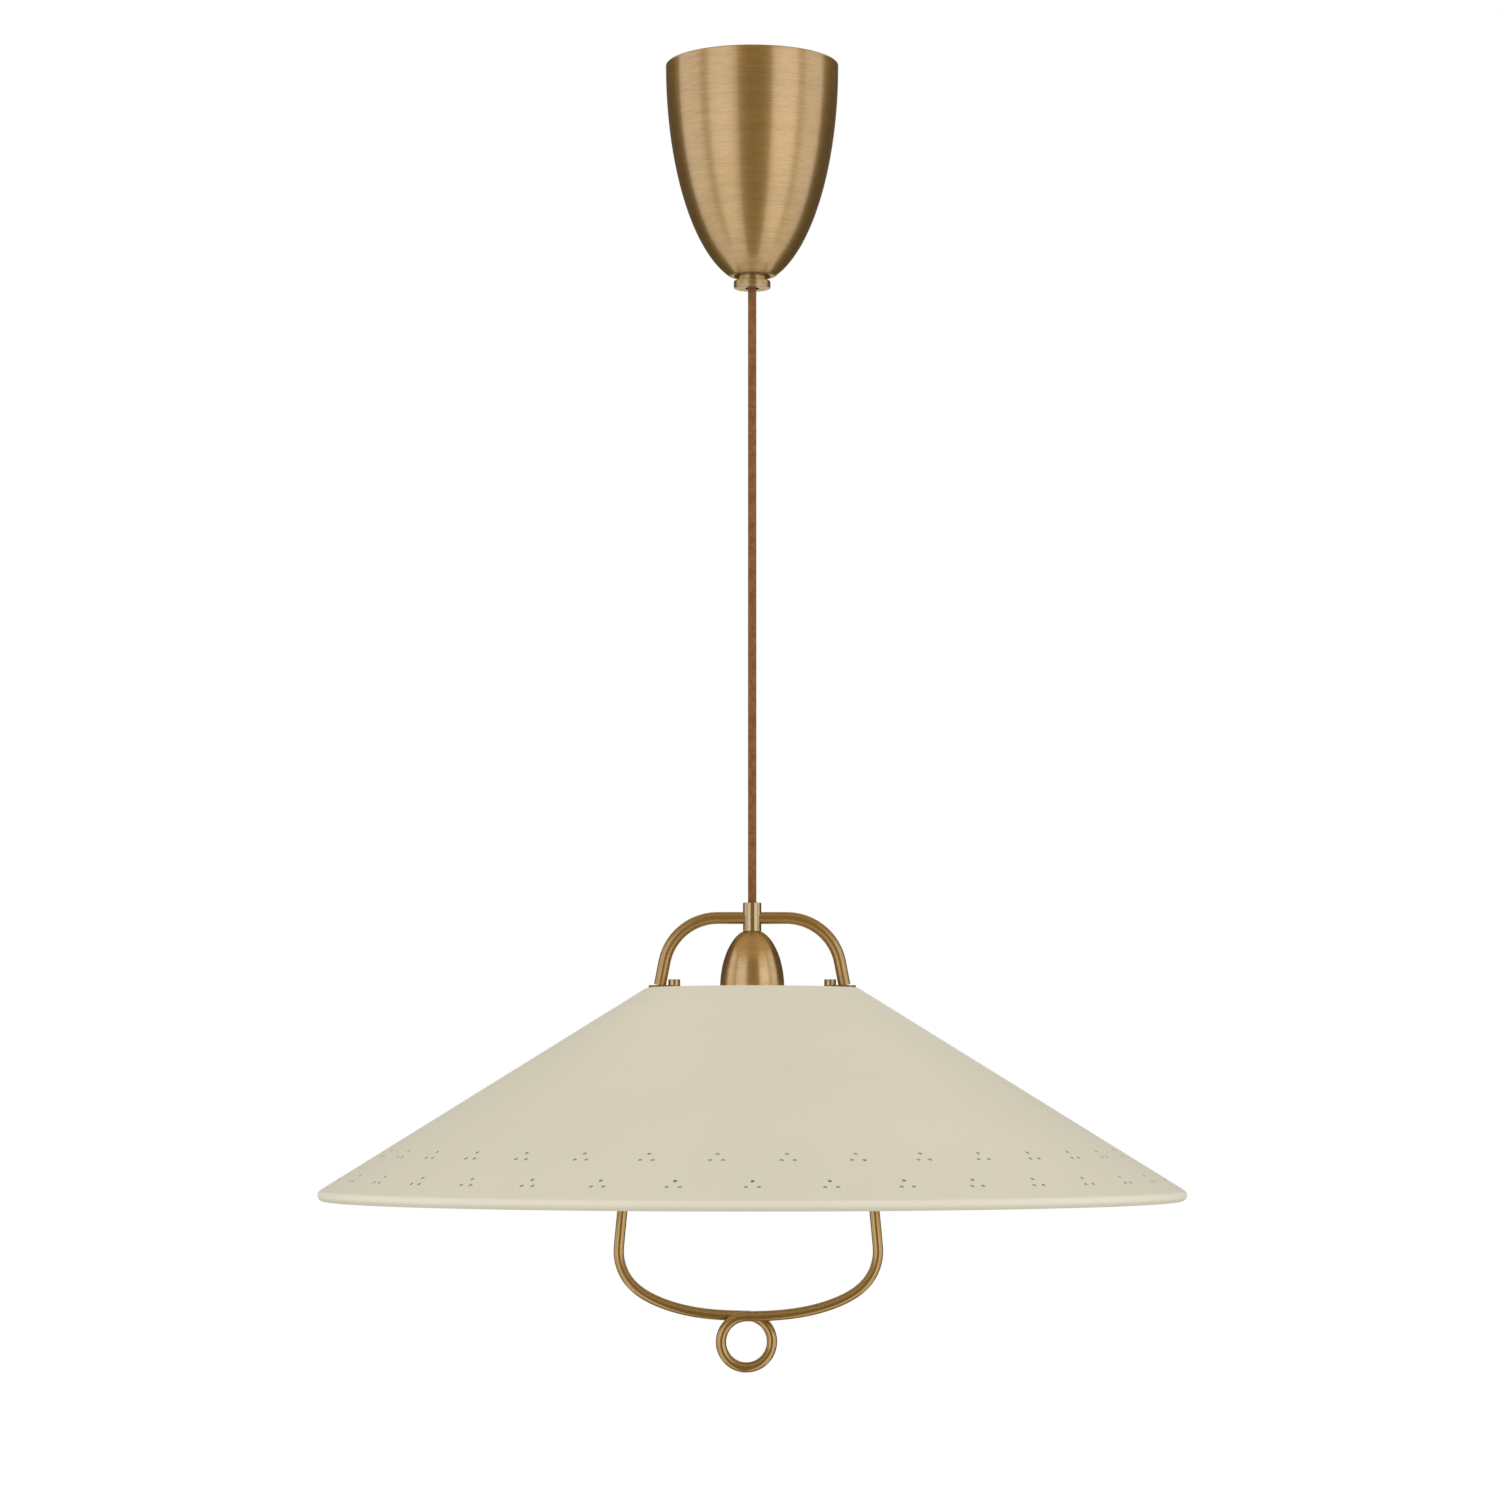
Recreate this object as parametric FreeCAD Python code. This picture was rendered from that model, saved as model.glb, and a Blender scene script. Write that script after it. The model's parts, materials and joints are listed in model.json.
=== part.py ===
"""A rise and fall pendant: a brass ceiling cup with a spring reel inside, a braided cord, and a cream
conical shade on a brass arch, pulled down by a bent brass handle with a pigtail loop.

Millimetres. The origin is the centre of the ceiling plane, +Z is up and +X is right as seen from the
front. The handle and the arch lie in the XZ plane, and the reel's axle is along Y.
"""
import FreeCAD, Part
import math
import os
from FreeCAD import Vector

os.makedirs("parts", exist_ok=True)

# ---- driving dimensions ----

# ceiling cup
CUP_R = 62.2
CUP_DEPTH = 155.8
CUP_CURVE_BEYOND = 3.5
CUP_WALL = 1.2
CUP_LIP_R = 2.2
CUP_NECK_R = 11.6
CUP_RECESS = 4.8

# strap that screws to the ceiling
STRAP_END_GAP = 5.0
STRAP_WIDTH = 22.0
STRAP_THICK = 2.5
CEILING_HOLE_SPACING = 88.9
CEILING_HOLE_R = 2.6
CABLE_HOLE_R = 6.0
EARTH_SCREW_STEP = 13.0

# reel frame
FRAME_SHEET = 2.0
FRAME_INNER_WIDTH = 32.0
FRAME_TOP_WIDTH = 44.0
FRAME_WAIST_WIDTH = 30.0
FRAME_FOOT_WIDTH = 16.0
FRAME_BRIDGE_LIFT = 5.0
FRAME_SCREW_SPACING = 32.0

# reel
AXLE_R = 4.0
AXLE_OVERHANG = 4.0
DRUM_ROOM_ABOVE = 15.5
DRUM_ROOM_BELOW = 6.4
DRUM_HUB_R = 22.0
DRUM_SHEET = 1.2
DRUM_TURNS = 4
DRUM_SHELL = 2.0
SPRING_TURNS = 7
SPRING_STRIP = 0.5
SLIP_DISC_R = 38.0
SLIP_DISC_THICK = 1.2
SLIP_RING_RADII = (28.0, 34.0)
SLIP_RING_WIDTH = 3.0
SLIP_RING_THICK = 0.2
BRUSH_R = 1.2
BRUSH_BACKING = 4.0
BRUSH_BLOCK_WIDTH = 14.4

# guide pulley
PULLEY_LIFT = 22.0
PULLEY_CORD_R = 11.0
PULLEY_R = 13.6
PULLEY_WIDTH = 10.0
PULLEY_PIN_R = 2.5
PULLEY_PIN_OVERHANG = 1.0

# outlet in the bottom of the cup
TUBE_R = 6.0
TUBE_BORE_R = 4.6
COLLAR_R = 13.15
COLLAR_THICK = 5.3
COLLAR_NECK_R = 10.7
COLLAR_NECK_LENGTH = 6.3
COLLAR_MOUTH_R = 4.5
COLLAR_LIP = 1.6
BUSH_FLANGE = 1.5
BUSH_LENGTH = 6.0

# cord
CORD_D = 6.0
CORD_DROP = 441.0
CORD_IN_SLEEVE = 9.0

# sleeve and arch
SLEEVE_R = 6.5
SLEEVE_LENGTH = 20.4
SLEEVE_NIPPLE_DEPTH = 6.0
ARCH_ROD_R = 3.85
ARCH_DROP = 11.1
ARCH_FOOT_INSET = 8.0
ARCH_BEND_R = 38.5
ARCH_LEAN_DEG = 10.8
FOOT_LENGTH = 22.5
FOOT_WIDTH = 11.5
FOOT_THICK = 2.0
FOOT_EDGE_GAP = 1.7
FOOT_SCREW_INSET = 18.1
SCREW_R = 2.0
SCREW_HEAD_R = 4.2
SCREW_HEAD_HEIGHT = 4.1
SCREW_SLOT_WIDTH = 1.1
SCREW_SLOT_DEPTH = 1.8
NUT_ACROSS_FLATS = 7.0
NUT_THICK = 3.2
SCREW_TIP = 1.0

# dome over the lampholder
DOME_R = 22.8
DOME_HEIGHT = 42.0
DOME_WALL = 0.9

# lampholder
NIPPLE_R = 4.95
NIPPLE_BORE_R = 3.4
HOLDER_R = 19.3
HOLDER_TOP_DROP = 26.0
HOLDER_CAP_LENGTH = 17.0
HOLDER_BODY_LENGTH = 48.0
HOLDER_WALL = 2.0
SOCKET_R = 13.3
SOCKET_LENGTH = 24.0
SOCKET_WALL = 0.5
INSERT_THICK = 9.0
CONTACT_R = 4.0
CONTACT_THICK = 1.5
CONTACT_RECESS = 0.3

# shade
SHADE_R = 305.0
SHADE_TOP_DROP = 501.4
SHADE_TOP_R = 75.0
SHADE_CORNER_R = 4.5
SHADE_HEIGHT = 149.3
SHADE_WALL = 1.0
RIM_BEAD_R = 4.1
SHADE_HOLE_R = 20.6

# pull handle
HANDLE_ROD_R = 3.65
HANDLE_SHIFT = -2.7
HANDLE_FOOT_INSET = 5.8
HANDLE_CORNER_R = 34.0
HANDLE_CORNER_INSET = 10.2
HANDLE_CORNER_DROP = 185.0
HANDLE_LEG_END_DEG = 5.0
HANDLE_BOW_DROP = 230.4
HANDLE_SHOULDER_STEP = 7.4
HANDLE_SHOULDER_RISE = 10.6
HANDLE_SHOULDER_DEG = 23.5
LOOP_R = 17.95
LOOP_SHIFT = -1.3
LOOP_GAP = 0.6

ELLIPSE_SPANS = 3

# ---- clearances ----
TOUCH = 0.3
SHAFT_FIT = 0.05
THREAD_FIT = 0.05
HOLE_FIT = 0.1

# ---- places that follow from the sizes ----
CUP_CURVE_HEIGHT = CUP_DEPTH + CUP_CURVE_BEYOND
CUP_FLOOR_Z = CUP_RECESS - CUP_DEPTH
STRAP_LENGTH = 2 * (CUP_R - CUP_WALL - STRAP_END_GAP)
FRAME_OUTER_Y = FRAME_INNER_WIDTH / 2 + FRAME_SHEET
FRAME_TOP_Z = -STRAP_THICK
FRAME_BRIDGE_Z = CUP_FLOOR_Z + FRAME_BRIDGE_LIFT
PULLEY_X = -PULLEY_CORD_R
PULLEY_Z = FRAME_BRIDGE_Z + PULLEY_LIFT
DRUM_HIGH_Z = FRAME_TOP_Z - FRAME_SHEET - DRUM_ROOM_ABOVE
DRUM_LOW_Z = PULLEY_Z + PULLEY_R + DRUM_ROOM_BELOW
DRUM_FLANGE_R = (DRUM_HIGH_Z - DRUM_LOW_Z) / 2
AXLE_Z = (DRUM_HIGH_Z + DRUM_LOW_Z) / 2
CORD_R = CORD_D / 2
CORD_PITCH = CORD_D + TOUCH
DRUM_WIDTH = DRUM_TURNS * CORD_PITCH + 2 * DRUM_SHEET
DRUM_LAYER_1 = DRUM_HUB_R + CORD_R + TOUCH / 2
DRUM_LAYER_2 = DRUM_LAYER_1 + CORD_PITCH
COLLAR_TOP_Z = CUP_FLOOR_Z
COLLAR_BOTTOM_Z = COLLAR_TOP_Z - COLLAR_NECK_LENGTH - COLLAR_THICK
CORD_TOP_Z = COLLAR_BOTTOM_Z + COLLAR_LIP
SLEEVE_TOP_Z = COLLAR_BOTTOM_Z - CORD_DROP
SLEEVE_BOTTOM_Z = SLEEVE_TOP_Z - SLEEVE_LENGTH
CORD_END_Z = SLEEVE_TOP_Z - CORD_IN_SLEEVE
ARCH_Z = SLEEVE_TOP_Z - ARCH_DROP
SHADE_TOP_Z = COLLAR_BOTTOM_Z - SHADE_TOP_DROP
FOOT_TOP_Z = SHADE_TOP_Z + FOOT_THICK
FOOT_OUTER_X = SHADE_TOP_R - FOOT_EDGE_GAP
FOOT_SCREW_X = FOOT_OUTER_X - FOOT_SCREW_INSET
UNDER_TOP_Z = SHADE_TOP_Z - SHADE_WALL
HANDLE_TOP_Z = UNDER_TOP_Z - FOOT_THICK
HANDLE_FOOT_X = FOOT_OUTER_X - HANDLE_FOOT_INSET
HANDLE_CORNER_X = HANDLE_FOOT_X - HANDLE_CORNER_INSET
HOLDER_TOP_Z = SLEEVE_BOTTOM_Z - HOLDER_TOP_DROP


# ---- small helpers ----

def at(x, z, y=0.0):
    return Vector(x, y, z)


def line(a, b):
    return Part.LineSegment(a, b).toShape()


def arc(a, mid, b):
    return Part.Arc(a, mid, b).toShape()


def closed_face(points):
    return Part.Face(Part.makePolygon(list(points) + [points[0]]))


def turned(edges, axis=Vector(0, 0, 1), centre=Vector(0, 0, 0)):
    """A full turn of a closed outline about an axis."""
    solid = Part.Face(Part.Wire(edges)).revolve(centre, axis, 360)
    return solid if solid.Volume > 0 else solid.reversed()


def turned_outline(points):
    """A full turn about Z of a closed outline of straight sides, given as (radius, z)."""
    corners = [at(r, z) for r, z in points]
    sides = [line(a, b) for a, b in zip(corners, corners[1:] + corners[:1])]
    return turned(sides)


def turned_on_axle(points, x, z):
    """A full turn about an axle along Y of a closed outline given as (radius, y)."""
    corners = [Vector(x + r, y, z) for r, y in points]
    sides = [line(a, b) for a, b in zip(corners, corners[1:] + corners[:1])]
    return turned(sides, Vector(0, 1, 0), Vector(x, 0, z))


def ring_on_axle(inner, outer, y_low, y_high, x, z):
    return turned_on_axle([(inner, y_low), (outer, y_low), (outer, y_high), (inner, y_high)], x, z)


def rod_z(radius, z_low, z_high, x=0.0, y=0.0):
    return Part.makeCylinder(radius, z_high - z_low, Vector(x, y, z_low))


def rod_y(radius, y_low, y_high, x, z):
    return Part.makeCylinder(radius, y_high - y_low, Vector(x, y_low, z), Vector(0, 1, 0))


def block(x_low, x_high, y_low, y_high, z_low, z_high):
    return Part.makeBox(x_high - x_low, y_high - y_low, z_high - z_low, Vector(x_low, y_low, z_low))


def hexagon(across_flats, thick, x, y, z_low):
    reach = across_flats / math.sqrt(3)
    corners = [Vector(x + reach * math.cos(math.radians(60 * i)), y + reach * math.sin(math.radians(60 * i)),
                      z_low) for i in range(6)]
    return closed_face(corners).extrude(Vector(0, 0, thick))


def oval_plate(length, width, thick, x_outer, z_low):
    """A plate with round ends, along X, whose outer end is at x_outer."""
    x_inner = x_outer - length
    end_r = width / 2
    a, b = x_inner + end_r, x_outer - end_r
    edges = [line(at(a, z_low, -end_r), at(b, z_low, -end_r)),
             arc(at(b, z_low, -end_r), at(x_outer, z_low), at(b, z_low, end_r)),
             line(at(b, z_low, end_r), at(a, z_low, end_r)),
             arc(at(a, z_low, end_r), at(x_inner, z_low), at(a, z_low, -end_r))]
    return Part.Face(Part.Wire(edges)).extrude(Vector(0, 0, thick))


def swept_rod(edges, radius):
    """A round rod along a path of tangent lines and arcs."""
    path = Part.Wire(edges)
    start = edges[0].valueAt(edges[0].FirstParameter)
    heading = edges[0].tangentAt(edges[0].FirstParameter)
    section = Part.Wire([Part.makeCircle(radius, start, heading)])
    return path.makePipeShell([section], True, False)


def biarc(p0, t0, p1, t1):
    """Two arcs that join two points and keep the given directions."""
    span = p1 - p0
    both = t0 + t1
    spread = 2 * (1 - t0.dot(t1))
    if spread < 1e-9:
        reach = span.dot(span) / (4 * span.dot(t1))
    else:
        along = span.dot(both)
        reach = (math.sqrt(along * along + spread * span.dot(span)) - along) / spread
    join = (p0 + p1 + (t0 - t1) * reach) * 0.5
    return [tangent_arc(p0, join, p0 + t0 * reach), tangent_arc(join, p1, p1 - t1 * reach)]


def tangent_arc(a, b, apex):
    """The arc from a to b whose end tangents meet at apex."""
    chord_mid = (a + b) * 0.5
    half = (b - a).Length / 2
    rise = (apex - chord_mid).Length
    if rise < 1e-4 * half:
        return line(a, b)
    radius = half * math.hypot(half, rise) / rise
    sagitta = radius - math.sqrt(radius * radius - half * half)
    return arc(a, chord_mid + (apex - chord_mid) * (sagitta / rise), b)


def through(stations):
    """Tangent arcs through places with directions."""
    edges = []
    for (p0, t0), (p1, t1) in zip(stations, stations[1:]):
        edges.extend(biarc(p0, t0, p1, t1))
    return edges


def ellipse_side(semi_r, semi_z, z_centre, z_from, z_to):
    """Arcs along the side of an upright ellipse from one height to another, with their two ends."""
    first = math.asin((z_from - z_centre) / semi_z)
    last = math.asin((z_to - z_centre) / semi_z)
    stations = []
    for i in range(ELLIPSE_SPANS + 1):
        turn = first + (last - first) * i / ELLIPSE_SPANS
        place = at(semi_r * math.cos(turn), z_centre + semi_z * math.sin(turn))
        heading = at(-semi_r * math.sin(turn), semi_z * math.cos(turn)) * math.copysign(1, last - first)
        heading.normalize()
        stations.append((place, heading))
    return through(stations), stations[0][0], stations[-1][0]


def mirrored(shape):
    return shape.mirror(Vector(0, 0, 0), Vector(1, 0, 0))


def both_sides(shape):
    return Part.makeCompound([shape, mirrored(shape)])


def write(name, shape):
    shape.exportStep("parts/%s.step" % name)


# ---- ceiling cup and its fixing ----

def canopy():
    """The spun cup: half an ellipsoid, a rolled lip at the bottom and a recessed floor."""
    lip_low = -CUP_DEPTH
    lip_centre_r = CUP_NECK_R + CUP_LIP_R
    lip_z = lip_low + CUP_LIP_R
    outer, rim, low = ellipse_side(CUP_R, CUP_CURVE_HEIGHT, 0.0, 0.0, lip_z)
    inner, inner_rim, inner_low = ellipse_side(CUP_R - CUP_WALL, CUP_CURVE_HEIGHT - CUP_WALL, 0.0, 0.0,
                                               CUP_FLOOR_Z + CUP_WALL)
    lip_out = at(lip_centre_r, lip_low)
    lip_in = at(CUP_NECK_R, lip_z)
    corner = CUP_LIP_R * math.sqrt(0.5)
    edges = [line(low, lip_out),
             arc(lip_out, at(lip_centre_r - corner, lip_z - corner), lip_in),
             line(lip_in, at(CUP_NECK_R, CUP_FLOOR_Z)),
             line(at(CUP_NECK_R, CUP_FLOOR_Z), at(TUBE_R + HOLE_FIT, CUP_FLOOR_Z)),
             line(at(TUBE_R + HOLE_FIT, CUP_FLOOR_Z), at(TUBE_R + HOLE_FIT, CUP_FLOOR_Z + CUP_WALL)),
             line(at(TUBE_R + HOLE_FIT, CUP_FLOOR_Z + CUP_WALL), inner_low),
             line(inner_rim, rim)]
    return turned(Part.__sortEdges__(edges + outer + inner))


def earth_screw_x():
    return -CEILING_HOLE_SPACING / 2 + EARTH_SCREW_STEP


def ceiling_strap():
    """A flat steel bar with round ends, two ceiling holes, two frame holes and one for the house cable."""
    bar = oval_plate(STRAP_LENGTH, STRAP_WIDTH, STRAP_THICK, STRAP_LENGTH / 2, -STRAP_THICK)
    holes = [rod_z(CABLE_HOLE_R, -STRAP_THICK, 0)]
    for side in (-1, 1):
        holes.append(rod_z(CEILING_HOLE_R, -STRAP_THICK, 0, side * CEILING_HOLE_SPACING / 2))
        holes.append(rod_z(SCREW_R + HOLE_FIT, -STRAP_THICK, 0, side * FRAME_SCREW_SPACING / 2))
    holes.append(rod_z(SCREW_R + HOLE_FIT, -STRAP_THICK, 0, earth_screw_x()))
    return bar.cut(Part.makeCompound(holes))


def pan_screw(x, y, z_head, length):
    """A pan-head screw that points up, with its head under z_head."""
    head = rod_z(SCREW_R * 1.9, z_head - SCREW_R, z_head, x, y)
    return head.fuse(rod_z(SCREW_R, z_head, z_head + length, x, y))


def frame_screws():
    depth = FRAME_SHEET + STRAP_THICK
    return both_sides(pan_screw(FRAME_SCREW_SPACING / 2, 0, FRAME_TOP_Z - FRAME_SHEET, depth))


def earth_screw():
    return pan_screw(earth_screw_x(), 0, -STRAP_THICK, STRAP_THICK)


def reel_frame():
    """One folded sheet: a top plate, two cheeks that taper to the bottom, and a bridge across the foot."""
    top, waist, foot = FRAME_TOP_WIDTH / 2, FRAME_WAIST_WIDTH / 2, FRAME_FOOT_WIDTH / 2
    top_low = FRAME_TOP_Z - FRAME_SHEET
    pulley_reach = PULLEY_X - 2.4 * PULLEY_PIN_R
    outline = [(-top, FRAME_TOP_Z), (top, FRAME_TOP_Z), (top, AXLE_Z / 3), (waist, AXLE_Z * 0.75),
               (waist, AXLE_Z - AXLE_R * 4), (foot, FRAME_BRIDGE_Z), (-foot, FRAME_BRIDGE_Z),
               (pulley_reach, PULLEY_Z - 2 * PULLEY_PIN_R), (pulley_reach, PULLEY_Z + 2 * PULLEY_PIN_R),
               (-waist, AXLE_Z - AXLE_R * 4), (-waist, AXLE_Z * 0.75), (-top, AXLE_Z / 3)]
    cheek = closed_face([at(x, z, -FRAME_OUTER_Y) for x, z in outline])
    body = cheek.extrude(Vector(0, 2 * FRAME_OUTER_Y, 0))
    hollow = block(-CUP_R, CUP_R, -FRAME_INNER_WIDTH / 2, FRAME_INNER_WIDTH / 2,
                   FRAME_BRIDGE_Z + FRAME_SHEET, top_low)
    holes = [rod_y(AXLE_R + SHAFT_FIT / 2, -FRAME_OUTER_Y, FRAME_OUTER_Y, 0, AXLE_Z),
             rod_y(PULLEY_PIN_R + SHAFT_FIT / 2, -FRAME_OUTER_Y, FRAME_OUTER_Y, PULLEY_X, PULLEY_Z),
             rod_z(TUBE_R + HOLE_FIT, FRAME_BRIDGE_Z, FRAME_BRIDGE_Z + FRAME_SHEET),
             rod_z(CABLE_HOLE_R, top_low, FRAME_TOP_Z)]
    for side in (-1, 1):
        holes.append(rod_z(SCREW_R + HOLE_FIT, top_low, FRAME_TOP_Z, side * FRAME_SCREW_SPACING / 2))
    for radius in SLIP_RING_RADII:
        holes.append(rod_y(BRUSH_R + HOLE_FIT, FRAME_INNER_WIDTH / 2, FRAME_OUTER_Y, 0, AXLE_Z + radius))
    return body.cut(hollow).cut(Part.makeCompound(holes)).removeSplitter()


# ---- reel ----

def reel_axle():
    reach = FRAME_OUTER_Y + AXLE_OVERHANG
    return rod_y(AXLE_R, -reach, reach, 0, AXLE_Z)


def axle_clips():
    """A spring ring at each end of the axle, against the outside of the frame."""
    ring_r = AXLE_R * 1.75
    thick = AXLE_OVERHANG / 4
    inner = AXLE_R + SHAFT_FIT / 2
    back = ring_on_axle(inner, ring_r, FRAME_OUTER_Y, FRAME_OUTER_Y + thick, 0, AXLE_Z)
    front = ring_on_axle(inner, ring_r, -FRAME_OUTER_Y - thick, -FRAME_OUTER_Y, 0, AXLE_Z)
    return Part.makeCompound([back, front])


def cord_drum():
    """Hub and two flanges with a web at the back; the hub is hollow for the spring."""
    half = DRUM_WIDTH / 2
    bore = AXLE_R + SHAFT_FIT
    boss = AXLE_R * 1.8
    inner = DRUM_HUB_R - DRUM_SHELL
    inside = half - DRUM_SHEET
    outline = [(bore, half), (DRUM_FLANGE_R, half), (DRUM_FLANGE_R, inside), (DRUM_HUB_R, inside),
               (DRUM_HUB_R, -inside), (DRUM_FLANGE_R, -inside), (DRUM_FLANGE_R, -half),
               (inner, -half), (inner, inside), (boss, inside), (boss, -inside + 2 * DRUM_SHEET),
               (bore, -inside + 2 * DRUM_SHEET)]
    return turned_on_axle(outline, 0, AXLE_Z)


def drum_cover():
    """The lid that closes the spring chamber."""
    half = DRUM_WIDTH / 2
    inner = DRUM_HUB_R - DRUM_SHELL
    return ring_on_axle(AXLE_R + SHAFT_FIT, inner - HOLE_FIT / 2, -half, -half + DRUM_SHEET, 0, AXLE_Z)


def power_spring():
    """The flat spiral spring, of half turns about two centres, from the axle's boss to the hub."""
    inner = AXLE_R * 1.8 + HOLE_FIT
    outer = DRUM_HUB_R - DRUM_SHELL - HOLE_FIT - SPRING_STRIP
    growth = (outer - inner) / (2 * SPRING_TURNS)
    y_low = -DRUM_WIDTH / 2 + 3 * DRUM_SHEET
    y_high = DRUM_WIDTH / 2 - 2 * DRUM_SHEET

    def spiral(start_r):
        edges = []
        for half_turn in range(2 * SPRING_TURNS):
            side = 1 if half_turn % 2 == 0 else -1
            centre = 0.0 if side > 0 else growth
            radius = start_r + half_turn * growth
            edges.append(arc(Vector(centre + side * radius, y_low, AXLE_Z),
                             Vector(centre, y_low, AXLE_Z + side * radius),
                             Vector(centre - side * radius, y_low, AXLE_Z)))
        return edges

    inside, outside = spiral(inner), spiral(inner + SPRING_STRIP)
    first = line(inside[0].valueAt(inside[0].FirstParameter), outside[0].valueAt(outside[0].FirstParameter))
    last = line(inside[-1].valueAt(inside[-1].LastParameter), outside[-1].valueAt(outside[-1].LastParameter))
    wire = Part.Wire(Part.__sortEdges__(inside + outside + [first, last]))
    return Part.Face(wire).extrude(Vector(0, y_high - y_low, 0))


def wound_cord():
    """The cord on the drum: a full first layer, and one turn of the second beside the leaving cord."""
    half = DRUM_TURNS * CORD_PITCH / 2 - TOUCH
    first = DRUM_LAYER_1 + CORD_R
    second = DRUM_LAYER_2 + CORD_R
    inner = DRUM_HUB_R + HOLE_FIT
    edge = -CORD_PITCH + CORD_R
    outline = [(inner, -half), (second, -half), (second, edge), (first, edge), (first, half), (inner, half)]
    return turned_on_axle(outline, 0, AXLE_Z)


def slip_disc():
    half = DRUM_WIDTH / 2
    return ring_on_axle(AXLE_R * 2, SLIP_DISC_R, half, half + SLIP_DISC_THICK, 0, AXLE_Z)


def slip_rings():
    y = DRUM_WIDTH / 2 + SLIP_DISC_THICK
    rings = []
    for radius in SLIP_RING_RADII:
        rings.append(ring_on_axle(radius - SLIP_RING_WIDTH / 2, radius + SLIP_RING_WIDTH / 2,
                                  y, y + SLIP_RING_THICK, 0, AXLE_Z))
    return Part.makeCompound(rings)


def brush_span():
    """Heights of the two brushes, and the depth of the block that holds them."""
    heights = [AXLE_Z + radius for radius in SLIP_RING_RADII]
    depth = 4 * BRUSH_R + BRUSH_BACKING
    return heights, depth


def brush_block():
    heights, depth = brush_span()
    side = 3 * BRUSH_R
    body = block(-BRUSH_BLOCK_WIDTH / 2, BRUSH_BLOCK_WIDTH / 2, FRAME_OUTER_Y, FRAME_OUTER_Y + depth,
                 min(heights) - side, max(heights) + side)
    holes = [rod_y(BRUSH_R + HOLE_FIT / 2, FRAME_OUTER_Y, FRAME_OUTER_Y + depth / 2, 0, z) for z in heights]
    return body.cut(Part.makeCompound(holes))


def brushes():
    """Two carbon brushes that reach through the frame to the slip rings."""
    heights, depth = brush_span()
    tip = DRUM_WIDTH / 2 + SLIP_DISC_THICK + SLIP_RING_THICK + TOUCH
    return Part.makeCompound([rod_y(BRUSH_R, tip, FRAME_OUTER_Y + depth / 2, 0, z) for z in heights])


def terminal_block():
    """Three-way block on the front of the frame, open at its top for the house wires."""
    width, depth, height, wire_r = 26.0, 9.0, 13.0, 1.6
    z_high = FRAME_TOP_Z - FRAME_SHEET - height
    body = block(-width / 2, width / 2, -FRAME_OUTER_Y - depth, -FRAME_OUTER_Y, z_high - height, z_high)
    step = width / 3
    ways = [rod_z(wire_r, z_high - height, z_high, i * step, -FRAME_OUTER_Y - depth / 2) for i in (-1, 0, 1)]
    return body.cut(Part.makeCompound(ways))


# ---- guide pulley and outlet ----

def guide_pulley():
    """Grooved wheel that turns the cord down onto the lamp's axis."""
    half = PULLEY_WIDTH / 2
    groove_r = CORD_R + TOUCH
    bore = PULLEY_PIN_R + SHAFT_FIT
    edge_z = PULLEY_Z
    x0 = PULLEY_X

    def p(r, y):
        return Vector(x0 + r, y, edge_z)

    edges = [line(p(bore, -half), p(PULLEY_R, -half)),
             line(p(PULLEY_R, -half), p(PULLEY_R, -groove_r)),
             line(p(PULLEY_R, -groove_r), p(PULLEY_CORD_R, -groove_r)),
             arc(p(PULLEY_CORD_R, -groove_r), p(PULLEY_CORD_R - groove_r, 0), p(PULLEY_CORD_R, groove_r)),
             line(p(PULLEY_CORD_R, groove_r), p(PULLEY_R, groove_r)),
             line(p(PULLEY_R, groove_r), p(PULLEY_R, half)),
             line(p(PULLEY_R, half), p(bore, half)),
             line(p(bore, half), p(bore, -half))]
    return turned(edges, Vector(0, 1, 0), Vector(x0, 0, edge_z))


def pulley_pin():
    end_y = FRAME_OUTER_Y + PULLEY_PIN_OVERHANG
    return rod_y(PULLEY_PIN_R, -end_y, end_y, PULLEY_X, PULLEY_Z)


def pulley_spacers():
    """A tube each side keeps the pulley in the middle of the pin."""
    inner, outer = PULLEY_PIN_R + SHAFT_FIT / 2, PULLEY_PIN_R * 1.6
    near, far = PULLEY_WIDTH / 2 + TOUCH, FRAME_INNER_WIDTH / 2
    return Part.makeCompound([ring_on_axle(inner, outer, near, far, PULLEY_X, PULLEY_Z),
                              ring_on_axle(inner, outer, -far, -near, PULLEY_X, PULLEY_Z)])


def outlet_tube():
    top = FRAME_BRIDGE_Z + FRAME_SHEET + NUT_THICK
    bottom = COLLAR_BOTTOM_Z + COLLAR_LIP
    return rod_z(TUBE_R, bottom, top).cut(rod_z(TUBE_BORE_R, bottom, top))


def outlet_nut():
    low = FRAME_BRIDGE_Z + FRAME_SHEET
    nut = hexagon(2.7 * TUBE_R, NUT_THICK, 0, 0, low)
    return nut.cut(rod_z(TUBE_R + THREAD_FIT, low, low + NUT_THICK))


def outlet_bush():
    """Nylon bush in the top of the tube, so that the edge can't chafe the cord."""
    top = FRAME_BRIDGE_Z + FRAME_SHEET + NUT_THICK
    inner = CORD_R + TOUCH
    return turned_outline([(inner, top - BUSH_LENGTH), (TUBE_BORE_R - THREAD_FIT, top - BUSH_LENGTH),
                           (TUBE_BORE_R - THREAD_FIT, top), (TUBE_R, top), (TUBE_R, top + BUSH_FLANGE),
                           (inner, top + BUSH_FLANGE)])


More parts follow.
